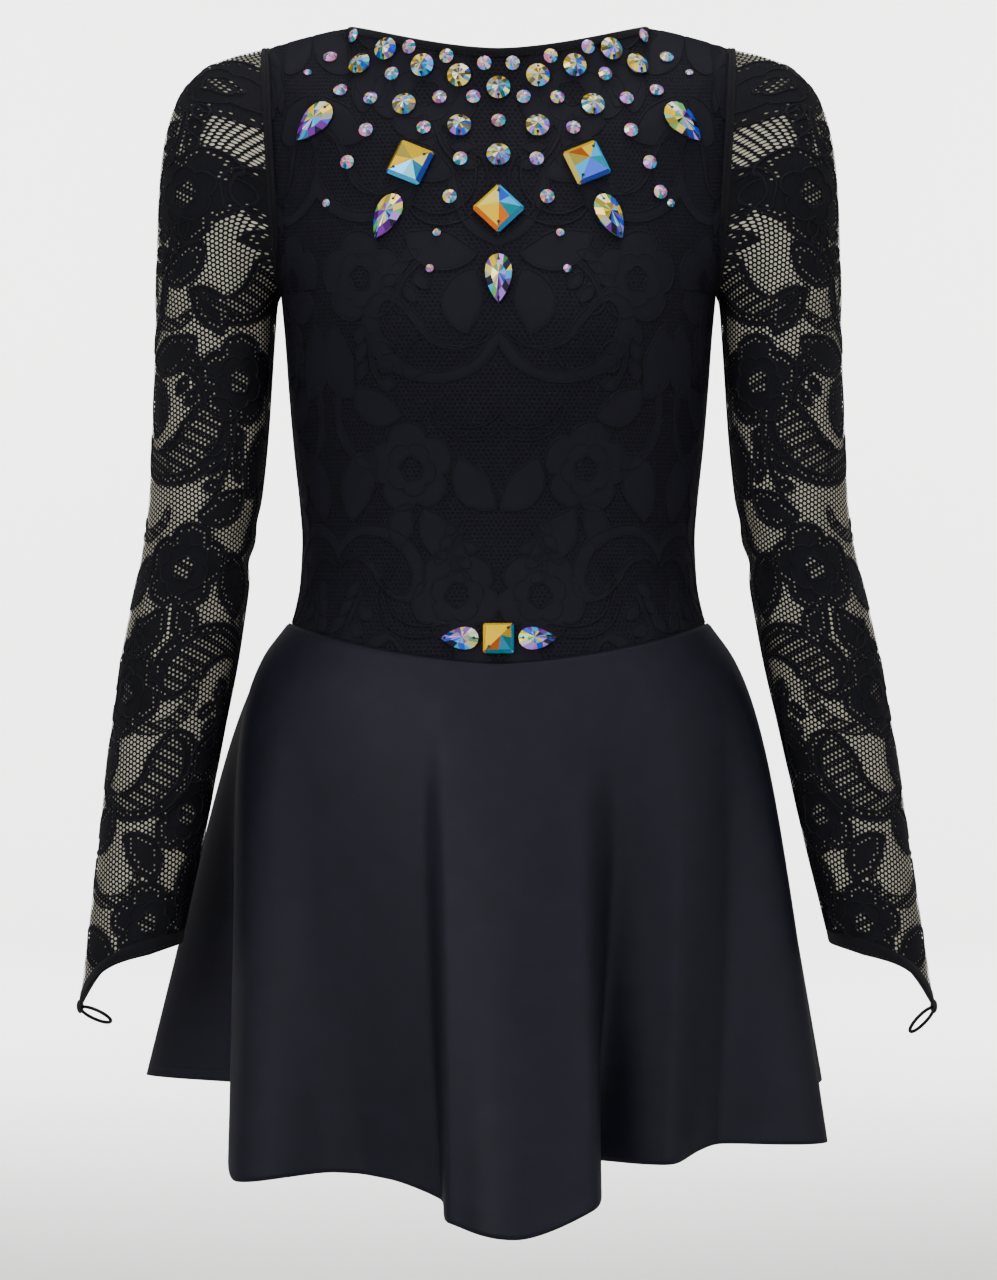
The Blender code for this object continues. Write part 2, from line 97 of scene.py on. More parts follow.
Sleeve = namedtuple("Sleeve", "outer outer_z inner inner_z half_depth centre_y")
SLEEVE = (
    Sleeve(SHOULDER_TIP, SHOULDER_TIP_Z, UNDERARM, UNDERARM_Z, ARMHOLE_HALF_DEPTH, 0),
    Sleeve(164.0, -6, 134.9, -153.4, 49.5, 0),
    Sleeve(181.0, -13, 135.6, -154.2, 49.0, 0),
    Sleeve(193.5, -25, 136.2, -155.2, 48.5, 0),
    Sleeve(202.5, -43, 136.8, -157.0, 47.5, 0),
    Sleeve(208.0, -68, 137.3, -160.0, 46.0, 0),
    Sleeve(210.5, -98, 137.8, -164.5, 44.5, 0),
    Sleeve(211.5, -130, 138.3, -172.0, 43.0, 0),
    Sleeve(212.0, -162, 139.2, -184.0, 41.5, 0),
    Sleeve(213.0, -200, 140.5, -205.0, 40.5, -1),
    Sleeve(214.3, -240, 142.8, -240.0, 40.0, -2),
    Sleeve(216.3, -280, 147.0, -280.0, 39.5, -3),
    Sleeve(221.0, -314, 152.3, -314.0, 39.0, -4),
    Sleeve(228.6, -348, 157.5, -348.0, 39.0, -6),
    Sleeve(235.5, -382, 163.2, -382.0, 38.5, -8),
    Sleeve(240.5, -416, 170.4, -416.0, 37.5, -11),
    Sleeve(245.6, -455, 178.3, -455.0, 36.0, -14),
    Sleeve(250.2, -495, 186.7, -495.0, 34.5, -18),
    Sleeve(254.8, -530, 194.7, -530.0, 33.0, -21),
    Sleeve(258.2, -557, 200.5, -557.0, 32.0, -23),
    Sleeve(264.5, -604, 208.5, -604.0, 29.0, -26),
)
LEVEL_RING = 10
LEVEL_Z = -240.0
FOREARM_SWING = {"left": 4.5, "right": -4.5}
ELBOW_Z = -300.0

# Cuff
CUFF_INNER_Z = -553.0
CUFF_SLANT = 17.0
CUFF_POINT = 23.0
CUFF_SLANT_SHAPE = 1.2
CUFF_POINT_SHAPE = 6.0
CUFF_BAND = 9.0
LOOP_CORD = 2.2
LOOP_HALF_LENGTH = 10.0
LOOP_HALF_WIDTH = 6.0
LOOP_SLOPE = {"left": math.radians(46), "right": math.radians(24)}
LOOP_TURN = math.radians(35)
LOOP_ROOT = (-0.9, 0, 0.2)
LOOP_GAP = 0.05
LOOP_POINTS = 41

# Skirt
HEM_HALF_WIDTH = 203.0
HEM_FRONT = 140.0
HEM_BACK = 180.0
HIP_SHARE = 0.42
HIP_REACH = 0.12
FOLD_START = 0.05
FOLD_GROWTH = 1.15
Fold = namedtuple("Fold", "waist_angle hem_angle reach height")
FOLDS = (
    Fold(4, 3, 192, -707),
    Fold(15, 17, 184, -693),
    Fold(28, 29, 112, -675),
    Fold(43, 43, 150, -676),
    Fold(58, 58, 154, -668),
    Fold(75, 75, 206, -671),
    Fold(90, 91, 176, -655),
    Fold(105, 105, 212, -646),
    Fold(122, 122, 168, -652),
    Fold(139, 139, 212, -644),
    Fold(156, 156, 160, -654),
    Fold(172, 172, 205, -645),
    Fold(188, 188, 158, -654),
    Fold(205, 205, 205, -645),
    Fold(222, 222, 160, -652),
    Fold(238, 238, 212, -640),
    Fold(248, 248, 184, -646),
    Fold(257, 257, 229, -643),
    Fold(272, 274, 158, -641),
    Fold(298, 300, 181, -689),
    Fold(316, 316, 140, -682),
    Fold(330, 330, 130, -684),
    Fold(343, 346, 137, -693),
    Fold(349, 351, 180, -700),
)

# Lace: the net's pitch and lean, its holes as shares of a cell, and the raised cord round each motif
NET_PITCH = 2.9
NET_TURN = math.radians(24)
OPEN_HOLE = 0.63
RIM_HOLE = 0.46
FINE_HOLE = 0.48
LADDER_HOLE = 0.2
EYELET_HOLE = 0.38
SEAM_HOLE = 0.3
MOTIF_EDGE = 0.2
RIM_REACH = 1.6
EYELET_REACH = (-4.7, -2.4)
FINE_EDGE = -0.3
SEAM_REACH = 13.0
CORD_HALF = 0.62
CORD_LIFT = 0.55
CORD_STEP = 1.9
FAR = 6.0


def table_column(rows, name):
    return np.array([getattr(row, name) for row in rows], float)


def smooth_between(xs, ys, at):
    """Reads a table column at many positions, along a smooth curve that never overshoots its rows."""
    order = np.argsort(xs)
    xs, ys = np.asarray(xs, float)[order], np.asarray(ys, float)[order]
    steps = np.diff(xs)
    slopes = np.diff(ys) / steps
    before, after = slopes[:-1], slopes[1:]
    same = before * after > 0
    middle = np.where(same, 2 * before * after / np.where(same, before + after, 1), 0)
    tangents = np.concatenate([slopes[:1], middle, slopes[-1:]])
    at = np.clip(at, xs[0], xs[-1])
    i = np.clip(np.searchsorted(xs, at, side="right") - 1, 0, len(xs) - 2)
    s = (at - xs[i]) / steps[i]
    rise = ys[i] * (1 + 2 * s) * (1 - s) ** 2 + ys[i + 1] * s * s * (3 - 2 * s)
    return rise + steps[i] * (tangents[i] * s * (1 - s) ** 2 - tangents[i + 1] * s * s * (1 - s))


def body_at(z, name):
    return smooth_between(table_column(BODY, "height"), table_column(BODY, name), z)


# Bodice form

def armhole_depth(z):
    middle = (SHOULDER_TIP_Z + UNDERARM_Z) / 2
    half = (SHOULDER_TIP_Z - UNDERARM_Z) / 2
    share = np.where(z > UNDERARM_Z, np.minimum(np.abs(z - middle) / half, 1), 1)
    return ARMHOLE_HALF_DEPTH * np.sqrt(1 - share**2)


def top_edge(side, share):
    """Height and depth of the neckline and shoulder seam. Side is -1 in front and +1 behind."""
    x = np.abs(share) * SHOULDER_TIP
    out = np.clip((x - NECK_HALF) / (SHOULDER_TIP - NECK_HALF), 0, 1)
    seam_z = NECK_POINT_Z + (SHOULDER_TIP_Z - NECK_POINT_Z) * out**1.2
    across = np.minimum(x / NECK_HALF, 1)
    if side < 0:
        neck_z = FRONT_NECK_Z + (NECK_POINT_Z - FRONT_NECK_Z) * across**1.7
        neck_depth = FRONT_NECK_DEPTH * (1 - across**2) ** 0.6
    else:
        neck_z = NECK_POINT_Z + (BACK_NECK_Z - NECK_POINT_Z) * (1 - across**2) ** 0.8
        neck_depth = BACK_NECK_DEPTH * (1 - across**2) ** 0.6
    on_seam = x >= NECK_HALF
    return np.where(on_seam, seam_z, neck_z), np.where(on_seam, 0, neck_depth)


def waist_seam_z(side, share):
    if side < 0:
        return SEAM_SIDE_Z - SEAM_DIP * (1 - np.abs(share) ** 1.6)
    return SEAM_SIDE_Z + SEAM_BACK_LIFT * (1 - np.abs(share) ** 2)


# Soft creases of the bodice: where each lies, how long and wide it is, how deep, and its slant
Crease = namedtuple("Crease", "side across height length width depth slant")
BODICE_CREASES = (
    Crease(-1, -86, -318, 46, 7, -1.3, 12),
    Crease(-1, 92, -330, 52, 6, -1.5, -10),
    Crease(-1, -70, -342, 40, 6, -1.1, 6),
    Crease(-1, 70, -300, 38, 8, -1.0, -16),
    Crease(-1, -108, -196, 34, 7, -1.4, 38),
    Crease(-1, 106, -200, 38, 6, -1.3, -42),
    Crease(-1, -30, -332, 60, 9, -0.8, 3),
    Crease(-1, 36, -352, 52, 7, -0.9, -5),
    Crease(1, -60, -300, 70, 9, -1.6, 8),
    Crease(1, 55, -316, 80, 8, -1.8, -6),
    Crease(1, -20, -336, 90, 8, -1.4, 4),
    Crease(1, 96, -205, 40, 7, -1.5, -36),
    Crease(1, -98, -198, 36, 7, -1.3, 34),
    Crease(1, 20, -270, 50, 9, -1.0, 10),
)


def crease_shape(crease, across, up):
    """How deep one crease is at places beside and above its middle."""
    slant = math.radians(crease.slant)
    along = across * math.cos(slant) + up * math.sin(slant)
    beside = up * math.cos(slant) - across * math.sin(slant)
    return crease.depth * np.exp(-((along / crease.length) ** 2) - (beside / crease.width) ** 2)


def crease_depth(side, x, z):
    total = np.zeros(np.broadcast(x, z).shape)
    for crease in BODICE_CREASES:
        if crease.side == side:
            total += crease_shape(crease, x - crease.across, z - crease.height)
    return total


def body_point(side, share, z):
    share, z = np.broadcast_arrays(np.asarray(share, float), np.asarray(z, float))
    top_z, top_depth = top_edge(side, share)
    round_share = np.maximum(1 - np.abs(share) ** SECTION_ROUNDNESS, 0) ** 0.5
    edge = armhole_depth(z) * share**4
    depth = np.hypot(edge, body_at(z, "front" if side < 0 else "back") * round_share)
    x = share * body_at(z, "half_width")
    if side < 0:
        for centre in (-BUST_HALF_SPACING, BUST_HALF_SPACING):
            off = ((x - centre) ** 2 + (z - BUST_Z) ** 2) / BUST_SPREAD**2
            depth = depth + BUST_FULLNESS * np.exp(-off) * round_share
    depth = depth + crease_depth(side, x, z) * round_share
    reach = SHOULDER_ROUNDING * (1 - np.abs(share) ** 6) + 1e-6
    rounding = np.sin(np.pi / 2 * np.clip((top_z - z) / reach, 0, 1))
    return np.stack([x, side * (top_depth + (depth - top_depth) * rounding), z], axis=-1)


def bodice_height(side, share, down):
    """The height at a place down the panel: 0 is the top edge, 1 the underarm and 2 the waist seam."""
    top_z = top_edge(side, share)[0]
    upper = top_z + (UNDERARM_Z - top_z) * (1 - np.cos(np.pi * np.clip(down, 0, 1))) / 2
    lower = UNDERARM_Z + (waist_seam_z(side, share) - UNDERARM_Z) * (down - 1)
    return np.where(down <= 1, upper, lower)


BODICE_FLAT_HALF = 190.0


def flat_share(across):
    """A place along the cloth from the centre line, as a share of the panel's half width."""
    return np.sin(np.clip(across / BODICE_FLAT_HALF, -1, 1) * np.pi / 2)


def bodice_map(side):
    """Flat bodice lace to the body: across is along the cloth from the centre, and down is below z = 0."""
    def place(across, down):
        share = flat_share(across)
        top_z = top_edge(side, share)[0]
        z = np.clip(-down, waist_seam_z(side, share), top_z)
        return body_point(side, share, z)
    return place


# Skirt form

def hem_at(around, name):
    degrees, values = [], []
    for turn in (-360, 0, 360):
        for fold in FOLDS:
            degrees.append(fold.waist_angle + turn)
            values.append(getattr(fold, name) + (turn if name == "hem_angle" else 0))
    return smooth_between(degrees, values, np.degrees(around) % 360)


# Small ripples between the folds: angle, width in degrees, depth at the hem and where they start
Ripple = namedtuple("Ripple", "angle width depth start")
RIPPLES = (
    Ripple(-52, 5, 2.6, 0.25),
    Ripple(-38, 4, -2.2, 0.4),
    Ripple(-8, 5, -2.8, 0.2),
    Ripple(36, 4, 2.0, 0.35),
    Ripple(50, 5, -2.4, 0.3),
    Ripple(66, 4, 2.2, 0.45),
    Ripple(98, 4, 2.0, 0.3),
    Ripple(130, 5, 2.6, 0.3),
    Ripple(147, 4, -2.0, 0.4),
    Ripple(180, 5, 2.4, 0.25),
    Ripple(196, 4, -2.2, 0.4),
    Ripple(214, 5, 2.4, 0.35),
    Ripple(243, 4, -2.0, 0.3),
)


def ripple_depth(around, down):
    """How far the small ripples move the skirt's cloth outwards."""
    total = np.zeros(np.broadcast(around, down).shape)
    for ripple in RIPPLES:
        off = (np.degrees(around) - ripple.angle + 180) % 360 - 180
        grown = np.clip((down - ripple.start) / (1 - ripple.start), 0, 1)
        total += ripple.depth * grown * np.exp(-((off / ripple.width) ** 2))
    return total


def skirt_point(around, down):
    """A point of the skirt: around is the angle from the front centre and down runs from seam to hem."""
    around, down = np.broadcast_arrays(np.asarray(around, float), np.asarray(down, float))
    front = np.cos(around) >= 0
    share = np.sin(around)
    waists = [body_point(side, share, waist_seam_z(side, share)) for side in (1, -1)]
    waist = np.where(front[..., None], waists[1], waists[0])
    flare = HIP_SHARE * (1 - np.exp(-down / HIP_REACH)) + (1 - HIP_SHARE) * down
    fold_share = np.maximum(down - FOLD_START, 0) / (1 - FOLD_START)
    depth = np.where(front, HEM_FRONT, HEM_BACK)
    plain = np.stack([HEM_HALF_WIDTH * np.sin(around), -depth * np.cos(around)], axis=-1)
    reach = hem_at(around, "reach") + ripple_depth(around, down)
    lean = np.radians(hem_at(around, "hem_angle"))
    folded = np.stack([reach * np.sin(lean), -reach * np.cos(lean)], axis=-1)
    level = waist[..., :2] + (plain - waist[..., :2]) * flare[..., None]
    level = level + (folded - plain) * (fold_share**FOLD_GROWTH)[..., None]
    z = waist[..., 2] + (hem_at(around, "height") - waist[..., 2]) * down
    return np.concatenate([level, z[..., None]], axis=-1)


# Sleeve form

def cuff_edge_z(turn):
    share = (1 + np.cos(turn)) / 2
    return CUFF_INNER_Z - CUFF_SLANT * share**CUFF_SLANT_SHAPE - CUFF_POINT * share**CUFF_POINT_SHAPE


# Creases of a sleeve: the angle from the outer side, the height, and the crease's own sizes
SleeveCrease = namedtuple("SleeveCrease", "angle height length width depth slant")
SLEEVE_CREASES = (
    SleeveCrease(150, -300, 26, 7, -2.0, 22),
    SleeveCrease(165, -318, 30, 6, -2.2, 12),
    SleeveCrease(140, -336, 24, 7, -1.6, 28),
    SleeveCrease(100, -190, 30, 8, -1.5, 50),
    SleeveCrease(80, -150, 34, 9, -1.3, 58),
    SleeveCrease(60, -410, 40, 8, -1.0, -30),
    SleeveCrease(120, -470, 34, 7, -1.2, 24),
    SleeveCrease(70, -520, 26, 6, -1.0, -14),
    SleeveCrease(-120, -306, 30, 7, -1.8, -18),
    SleeveCrease(-150, -330, 28, 6, -2.0, -24),
    SleeveCrease(-95, -185, 34, 8, -1.4, -46),
    SleeveCrease(-70, -440, 38, 8, -1.1, 30),
    SleeveCrease(-110, -500, 30, 7, -1.2, -20),
)
# How far round the arm one degree reaches
SLEEVE_DEGREE = 0.66


def ring_point(name, ring, turn):
    """A point of the sleeve on the +X side, at a place among the rings and an angle round the arm."""
    numbers = np.arange(len(SLEEVE))
    at = {n: smooth_between(numbers, table_column(SLEEVE, n), ring) for n in Sleeve._fields}
    x = (at["outer"] + at["inner"]) / 2 + (at["outer"] - at["inner"]) / 2 * np.cos(turn)
    z = (at["outer_z"] + at["inner_z"]) / 2 + (at["outer_z"] - at["inner_z"]) / 2 * np.cos(turn)
    bulge = np.zeros(np.broadcast(x, z).shape)
    degrees = np.degrees(turn)
    for crease in SLEEVE_CREASES:
        across = ((degrees - crease.angle + 180) % 360 - 180) * SLEEVE_DEGREE
        bulge += crease_shape(crease, across, z - crease.height)
    y = at["centre_y"] - (at["half_depth"] + bulge) * np.sin(turn)
    x = x + bulge * np.cos(turn)
    x = x + FOREARM_SWING[name] * np.maximum(ELBOW_Z - z, 0) / (ELBOW_Z - CUFF_INNER_Z)
    return np.stack(np.broadcast_arrays(x, y, z), axis=-1)


class SleeveCloth:
    """The sleeve as flat cloth: across is round the arm from its outer line, down is along the arm."""

    TURNS = 144
    STEP = 3.0
    TOP = -285.0
    BOTTOM = 366.0

    def __init__(self, name):
        turns = np.arange(self.TURNS + 1) * 2 * np.pi / self.TURNS
        self.downs = np.arange(self.TOP, self.BOTTOM, self.STEP)
        rings = np.linspace(0, LEVEL_RING, 121)
        levels = np.arange(LEVEL_RING, len(SLEEVE))
        level_z = table_column(SLEEVE, "outer_z")[LEVEL_RING:]
        below = np.interp(LEVEL_Z - self.downs, level_z[::-1], levels[::-1])
        self.points = np.zeros((len(turns), len(self.downs), 3))
        self.tops = np.zeros(len(turns))
        for i, turn in enumerate(turns):
            line = ring_point(name, rings, turn)
            steps = np.linalg.norm(np.diff(line, axis=0), axis=1)
            place = np.concatenate([[0], np.cumsum(steps)]) - steps.sum()
            self.tops[i] = place[0]
            above = np.interp(self.downs, place, rings)
            ring = np.where(self.downs < 0, above, below)
            self.points[i] = ring_point(name, ring, turn)
        rounds = np.linalg.norm(np.diff(self.points, axis=0), axis=2).sum(axis=0)
        level = rounds[np.searchsorted(self.downs, 0)]
        self.rounds = np.where(self.downs < 0, level, rounds)

    def round_at(self, down):
        return np.interp(down, self.downs, self.rounds)

    def top_at(self, turn_share):
        return np.interp(turn_share % 1, np.linspace(0, 1, self.TURNS + 1), self.tops)

    def bottom_at(self, turn_share):
        return LEVEL_Z - (cuff_edge_z(turn_share * 2 * np.pi) + CUFF_BAND - 0.6)

    def fit(self, across, down):
        """Moves flat points that lie past the seam, the armhole or the cuff back onto them."""
        half = self.round_at(down) / 2
        share = np.clip(across / (2 * half), -0.5, 0.5)
        down = np.clip(down, self.top_at(share), self.bottom_at(share))
        return share * self.round_at(down), down

    def inside(self, across, down):
        share = across / self.round_at(down)
        within = np.abs(share) < 0.5
        return within & (down > self.top_at(share)) & (down < self.bottom_at(share))

    def place(self, across, down):
        turn = (across / self.round_at(down)) % 1 * self.TURNS
        row = np.clip((down - self.TOP) / self.STEP, 0, len(self.downs) - 1.001)
        i, j = turn.astype(int) % self.TURNS, row.astype(int)
        u, v = (turn - turn.astype(int))[..., None], (row - j)[..., None]
        p = self.points
        near = p[i, j] * (1 - v) + p[i, j + 1] * v
        far = p[i + 1, j] * (1 - v) + p[i + 1, j + 1] * v
        return near * (1 - u) + far * u


def outward(place, across, down, step=1.0):
    """Unit normals of a mapped cloth, for cloth whose across direction runs as its outside needs."""
    along = place(across + step, down) - place(across - step, down)
    drop = place(across, down + step) - place(across, down - step)
    normal = np.cross(along, drop)
    return normal / np.maximum(np.linalg.norm(normal, axis=-1, keepdims=True), 1e-9)


# Meshes

def new_mesh(name, points, faces, material, smooth=True, uv=None, values=None, mirrored=False):
    """A mesh object from points in millimetres, faces as lists, and flat coordinates for its texture."""
    points = np.asarray(points, float).reshape(-1, 3) * MM
    if mirrored:
        points = points * np.array([-1, 1, 1])
        faces = [face[::-1] for face in faces]
    mesh = bpy.data.meshes.new(name)
    mesh.from_pydata(points.tolist(), [], faces)
    if uv is not None:
        layer = mesh.uv_layers.new(name="cloth")
        corners = np.zeros(len(mesh.loops), int)
        mesh.loops.foreach_get("vertex_index", corners)
        layer.data.foreach_set("uv", (np.asarray(uv).reshape(-1, 2)[corners] * MM).ravel())
    for key, value in (values or {}).items():
        attribute = mesh.attributes.new(key, "FLOAT", "POINT")
        attribute.data.foreach_set("value", np.asarray(value, np.float32).ravel())
    mesh.polygons.foreach_set("use_smooth", [smooth] * len(mesh.polygons))
    mesh.materials.append(material)
    mesh.update()
    obj = bpy.data.objects.new(name, mesh)
    bpy.context.scene.collection.objects.link(obj)
    return obj


def grid_faces(rows, columns, closed=False):
    spans = columns if closed else columns - 1
    row, column = np.meshgrid(np.arange(rows - 1), np.arange(spans), indexing="ij")
    after = (column + 1) % columns
    corners = [row * columns + column, row * columns + after]
    corners += [(row + 1) * columns + after, (row + 1) * columns + column]
    return np.stack(corners, axis=-1).reshape(-1, 4).tolist()


def select_only(obj):
    bpy.ops.object.select_all(action="DESELECT")
    obj.select_set(True)
    bpy.context.view_layer.objects.active = obj


def face_outward(obj):
    select_only(obj)
    bpy.ops.object.mode_set(mode="EDIT")
    bpy.ops.mesh.select_all(action="SELECT")
    bpy.ops.mesh.normals_make_consistent(inside=False)
    bpy.ops.object.mode_set(mode="OBJECT")
    obj.select_set(False)


def thicken(obj, thick):
    select_only(obj)
    modifier = obj.modifiers.new("cloth", "SOLIDIFY")
    modifier.thickness = thick * MM
    modifier.offset = -1
    bpy.ops.object.modifier_apply(modifier=modifier.name)
    obj.select_set(False)


def keep(obj, replaced=()):
    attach(obj, "root")
    if replaced:
        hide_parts(*replaced)
    return obj


# Lace motifs, drawn as closed outlines on the flat cloth

Motif = namedtuple("Motif", "kind across down size turn")
LACE_MOTIFS = (
    Motif("rose", 26, -224, 28, 10),
    Motif("spray", 84, -232, 34, 60),
    Motif("leaf", 66, -196, 40, 50),
    Motif("spray", 26, -184, 30, 70),
    Motif("leaf", 96, -178, 42, 100),
    Motif("leaf", 66, -158, 40, 66),
    Motif("rose", 38, -146, 30, 40),
    Motif("leaf", 92, -130, 40, 118),
    Motif("paisley", 84, -92, 74, 82),
    Motif("leaf", 82, -214, 26, 100),
    Motif("leaf", 70, -151, 34, 40),
    Motif("spray", 28, -114, 30, 96),
    Motif("leaf", 42, 16, 32, 20),
    Motif("leaf", 40, -104, 36, 120),
    Motif("band", 22, -80, 52, 110),
    Motif("leaf", 58, -76, 34, 30),
    Motif("stem", 8, -66, 70, 90),
    Motif("leaf", 32, -50, 40, 140),
    Motif("rose", 80, -32, 28, 20),
    Motif("spray", 52, -30, 28, 40),
    Motif("leaf", 18, -18, 38, 60),
    Motif("paisley", 38, 6, 76, 98),
    Motif("leaf", 100, 18, 44, 84),
    Motif("spray", 74, 16, 30, 80),
    Motif("leaf", 74, 44, 34, 130),
    Motif("band", 12, 52, 52, 82),
    Motif("stem", 96, 60, 62, 70),
    Motif("rose", 52, 82, 27, 25),
    Motif("leaf", 90, 92, 44, 40),
    Motif("leaf", 14, 92, 36, 104),
    Motif("paisley", 84, 138, 70, -76),
    Motif("leaf", 34, 122, 38, 112),
    Motif("leaf", 60, 116, 28, 50),
    Motif("spray", 26, 132, 26, 60),
    Motif("rose", 24, 158, 27, 50),
    Motif("band", 58, 166, 58, 24),
    Motif("spray", 94, 172, 30, 60),
    Motif("leaf", 88, 196, 38, 100),
    Motif("paisley", 46, 212, 68, 84),
    Motif("leaf", 12, 200, 36, 80),
    Motif("rose", 78, 232, 25, 30),
    Motif("leaf", 14, 242, 38, 110),
    Motif("leaf", 50, 256, 34, 28),
    Motif("band", 26, 276, 50, 76),
    Motif("rose", 58, 298, 25, 10),
    Motif("leaf", 84, 272, 34, 82),
    Motif("leaf", 22, 316, 38, 22),
    Motif("spray", 88, 312, 28, 60),
    Motif("spray", 52, 338, 28, 10),
)
# The layout is mirrored about 0 and about the repeat's edge. The bodice's lace starts further down it
LACE_REPEAT = 112.0
LACE_SHIFT = 180.0
OUTLINE_POINTS = 26
MOTIF_GROWTH = 1.07


def swept(heading, curl, length, half_widths):
    """The outline of a shape of changing width along a bending line that starts at the origin."""
    t = np.linspace(0, 1, len(half_widths))
    headings = heading + curl * t**1.4
    steps = np.stack([np.cos(headings), np.sin(headings)], axis=1) * length / (len(t) - 1)
    line = np.cumsum(steps, axis=0)
    side = np.stack([-np.sin(headings), np.cos(headings)], axis=1) * half_widths[:, None]
    outline = np.concatenate([line + side, (line - side)[::-1]])
    return outline - outline.mean(axis=0)


def motif_outlines(kind, size):
    """The outlines of one motif round the origin: each with True where its inside is a fine net."""
    t = np.linspace(0.0, 1.0, OUTLINE_POINTS)
    if kind == "leaf":
        return [(swept(0, 0.9, size, 0.27 * size * np.sin(np.pi * t) ** 0.8 + 0.3), False)]
    if kind == "paisley":
        head = np.sqrt(np.clip(1 - ((0.3 - t) / 0.3) ** 2, 0, 1))
        taper = np.clip((1 - t) / 0.7, 0, 1) ** 0.85
        width = 0.22 * size * np.where(t < 0.3, head, taper) + 0.4
        outer = swept(0, 2.6, 1.25 * size, width)
        return [(outer, False), (swept(0, 2.6, 1.05 * size, width * 0.62), True)]
    if kind == "band":
        return [(swept(0, -2.9, 1.3 * size, 3.4 * np.sin(np.pi * t) ** 0.35 + 0.4), True)]
    if kind == "spray":
        outlines = [(swept(0, 0.8, size, 1.2 + 0 * t), False)]
        for i in range(6):
            hand = 1 if i % 2 else -1
            width = 0.12 * size * np.sin(np.pi * t) ** 0.8
            leaflet = swept(0.4 + 0.85 * hand, 0.5, 0.42 * size, width)
            reach = (i - 2.5) / 6 * size
            beside = 0.26 * size * hand
            outlines.append((leaflet + np.array([reach, beside + 0.16 * reach]), False))
        return outlines
    if kind == "stem":
        return [(swept(0, 1.9, size, 1.9 + 1.1 * np.sin(3 * np.pi * t) ** 2), False)]
    turn = np.linspace(0, 2 * np.pi, 70, endpoint=False)
    radius = size * (0.7 + 0.24 * np.abs(np.sin(2.5 * turn)) ** 0.5 + 0.06 * np.cos(turn + 1))
    petals = np.stack([radius * np.cos(turn), radius * np.sin(turn)], axis=1)
    inner = np.stack([radius * np.cos(turn + 0.63), radius * np.sin(turn + 0.63)], axis=1)
    return [(petals, False), (inner * 0.6, False), (petals * 0.28, True)]


def laid_outlines():
    """All outlines of the layout, turned and moved to their places."""
    laid = []
    for motif in LACE_MOTIFS:
        turn = math.radians(motif.turn)
        spin = np.array([[math.cos(turn), math.sin(turn)], [-math.sin(turn), math.cos(turn)]])
        for outline, fine in motif_outlines(motif.kind, motif.size * MOTIF_GROWTH):
            laid.append((outline @ spin + np.array([motif.across, motif.down]), fine))
    return laid


def folded(flat, shift):
    """The place in the layout that each flat point of the cloth shows."""
    across = np.abs(flat[:, 0])
    across = np.where(across > LACE_REPEAT, 2 * LACE_REPEAT - across, across)
    return np.stack([across, flat[:, 1] - shift], axis=1)


def signed_distance(points, outline):
    """Distance of flat points from a closed outline, negative inside it."""
    found = np.full(len(points), FAR)
    low, high = outline.min(axis=0) - FAR, outline.max(axis=0) + FAR
    near = np.where(((points > low) & (points < high)).all(axis=1))[0]
    if not len(near):
        return found
    p = points[near][:, None]
    a, b = outline[None], np.roll(outline, -1, axis=0)[None]
    along = b - a
    share = ((p - a) * along).sum(axis=2) / np.maximum((along**2).sum(axis=2), 1e-9)
    off = p - a - along * np.clip(share, 0, 1)[..., None]
    distance = np.sqrt((off**2).sum(axis=2)).min(axis=1)
    rising = np.where(np.abs(along[..., 1]) < 1e-9, 1e-9, along[..., 1])
    crossing = a[..., 0] + along[..., 0] * (p[..., 1] - a[..., 1]) / rising
    cuts = ((a[..., 1] > p[..., 1]) != (b[..., 1] > p[..., 1])) & (p[..., 0] < crossing)
    inside = cuts.sum(axis=1) % 2 == 1
    found[near] = np.where(inside, -distance, distance)
    return found


def lace_fields(flat, laid, shift=0.0):
    """For flat points: distance outside the solid motifs, and distance outside the fine-net parts."""
    points = folded(flat, shift)
    solid = np.full(len(points), FAR)
    fine = np.full(len(points), FAR)
    for outline, is_fine in laid:
        distance = signed_distance(points, outline)
        if is_fine:
            fine = np.minimum(fine, distance)
        else:
            solid = np.minimum(solid, distance)
    return solid, fine


def resampled(line, step, closed=True):
    """Points a step apart along a line of flat or solid points."""
    line = np.concatenate([line, line[:1]]) if closed else line
    lengths = np.linalg.norm(np.diff(line, axis=0), axis=1)
    place_along = np.concatenate([[0], np.cumsum(lengths)])
    count = max(int(place_along[-1] / step), 8)
    at = np.linspace(0, place_along[-1], count, endpoint=not closed)
    return np.stack([np.interp(at, place_along, line[:, k]) for k in range(line.shape[1])], axis=1)


CORD_PROFILE = ((-1.0, 0.05), (-0.55, 1.0), (0.55, 1.0), (1.0, 0.05))


def cloth_copies(line, shift):
    """The layout's line wherever the cloth shows it, cut at the repeat's edges."""
    shown = (line[:, 0] > 0) & (line[:, 0] < LACE_REPEAT)
    for side in (1, -1):
        for across in (line[:, 0], 2 * LACE_REPEAT - line[:, 0]):
            yield np.stack([side * across, line[:, 1] + shift], axis=1), shown


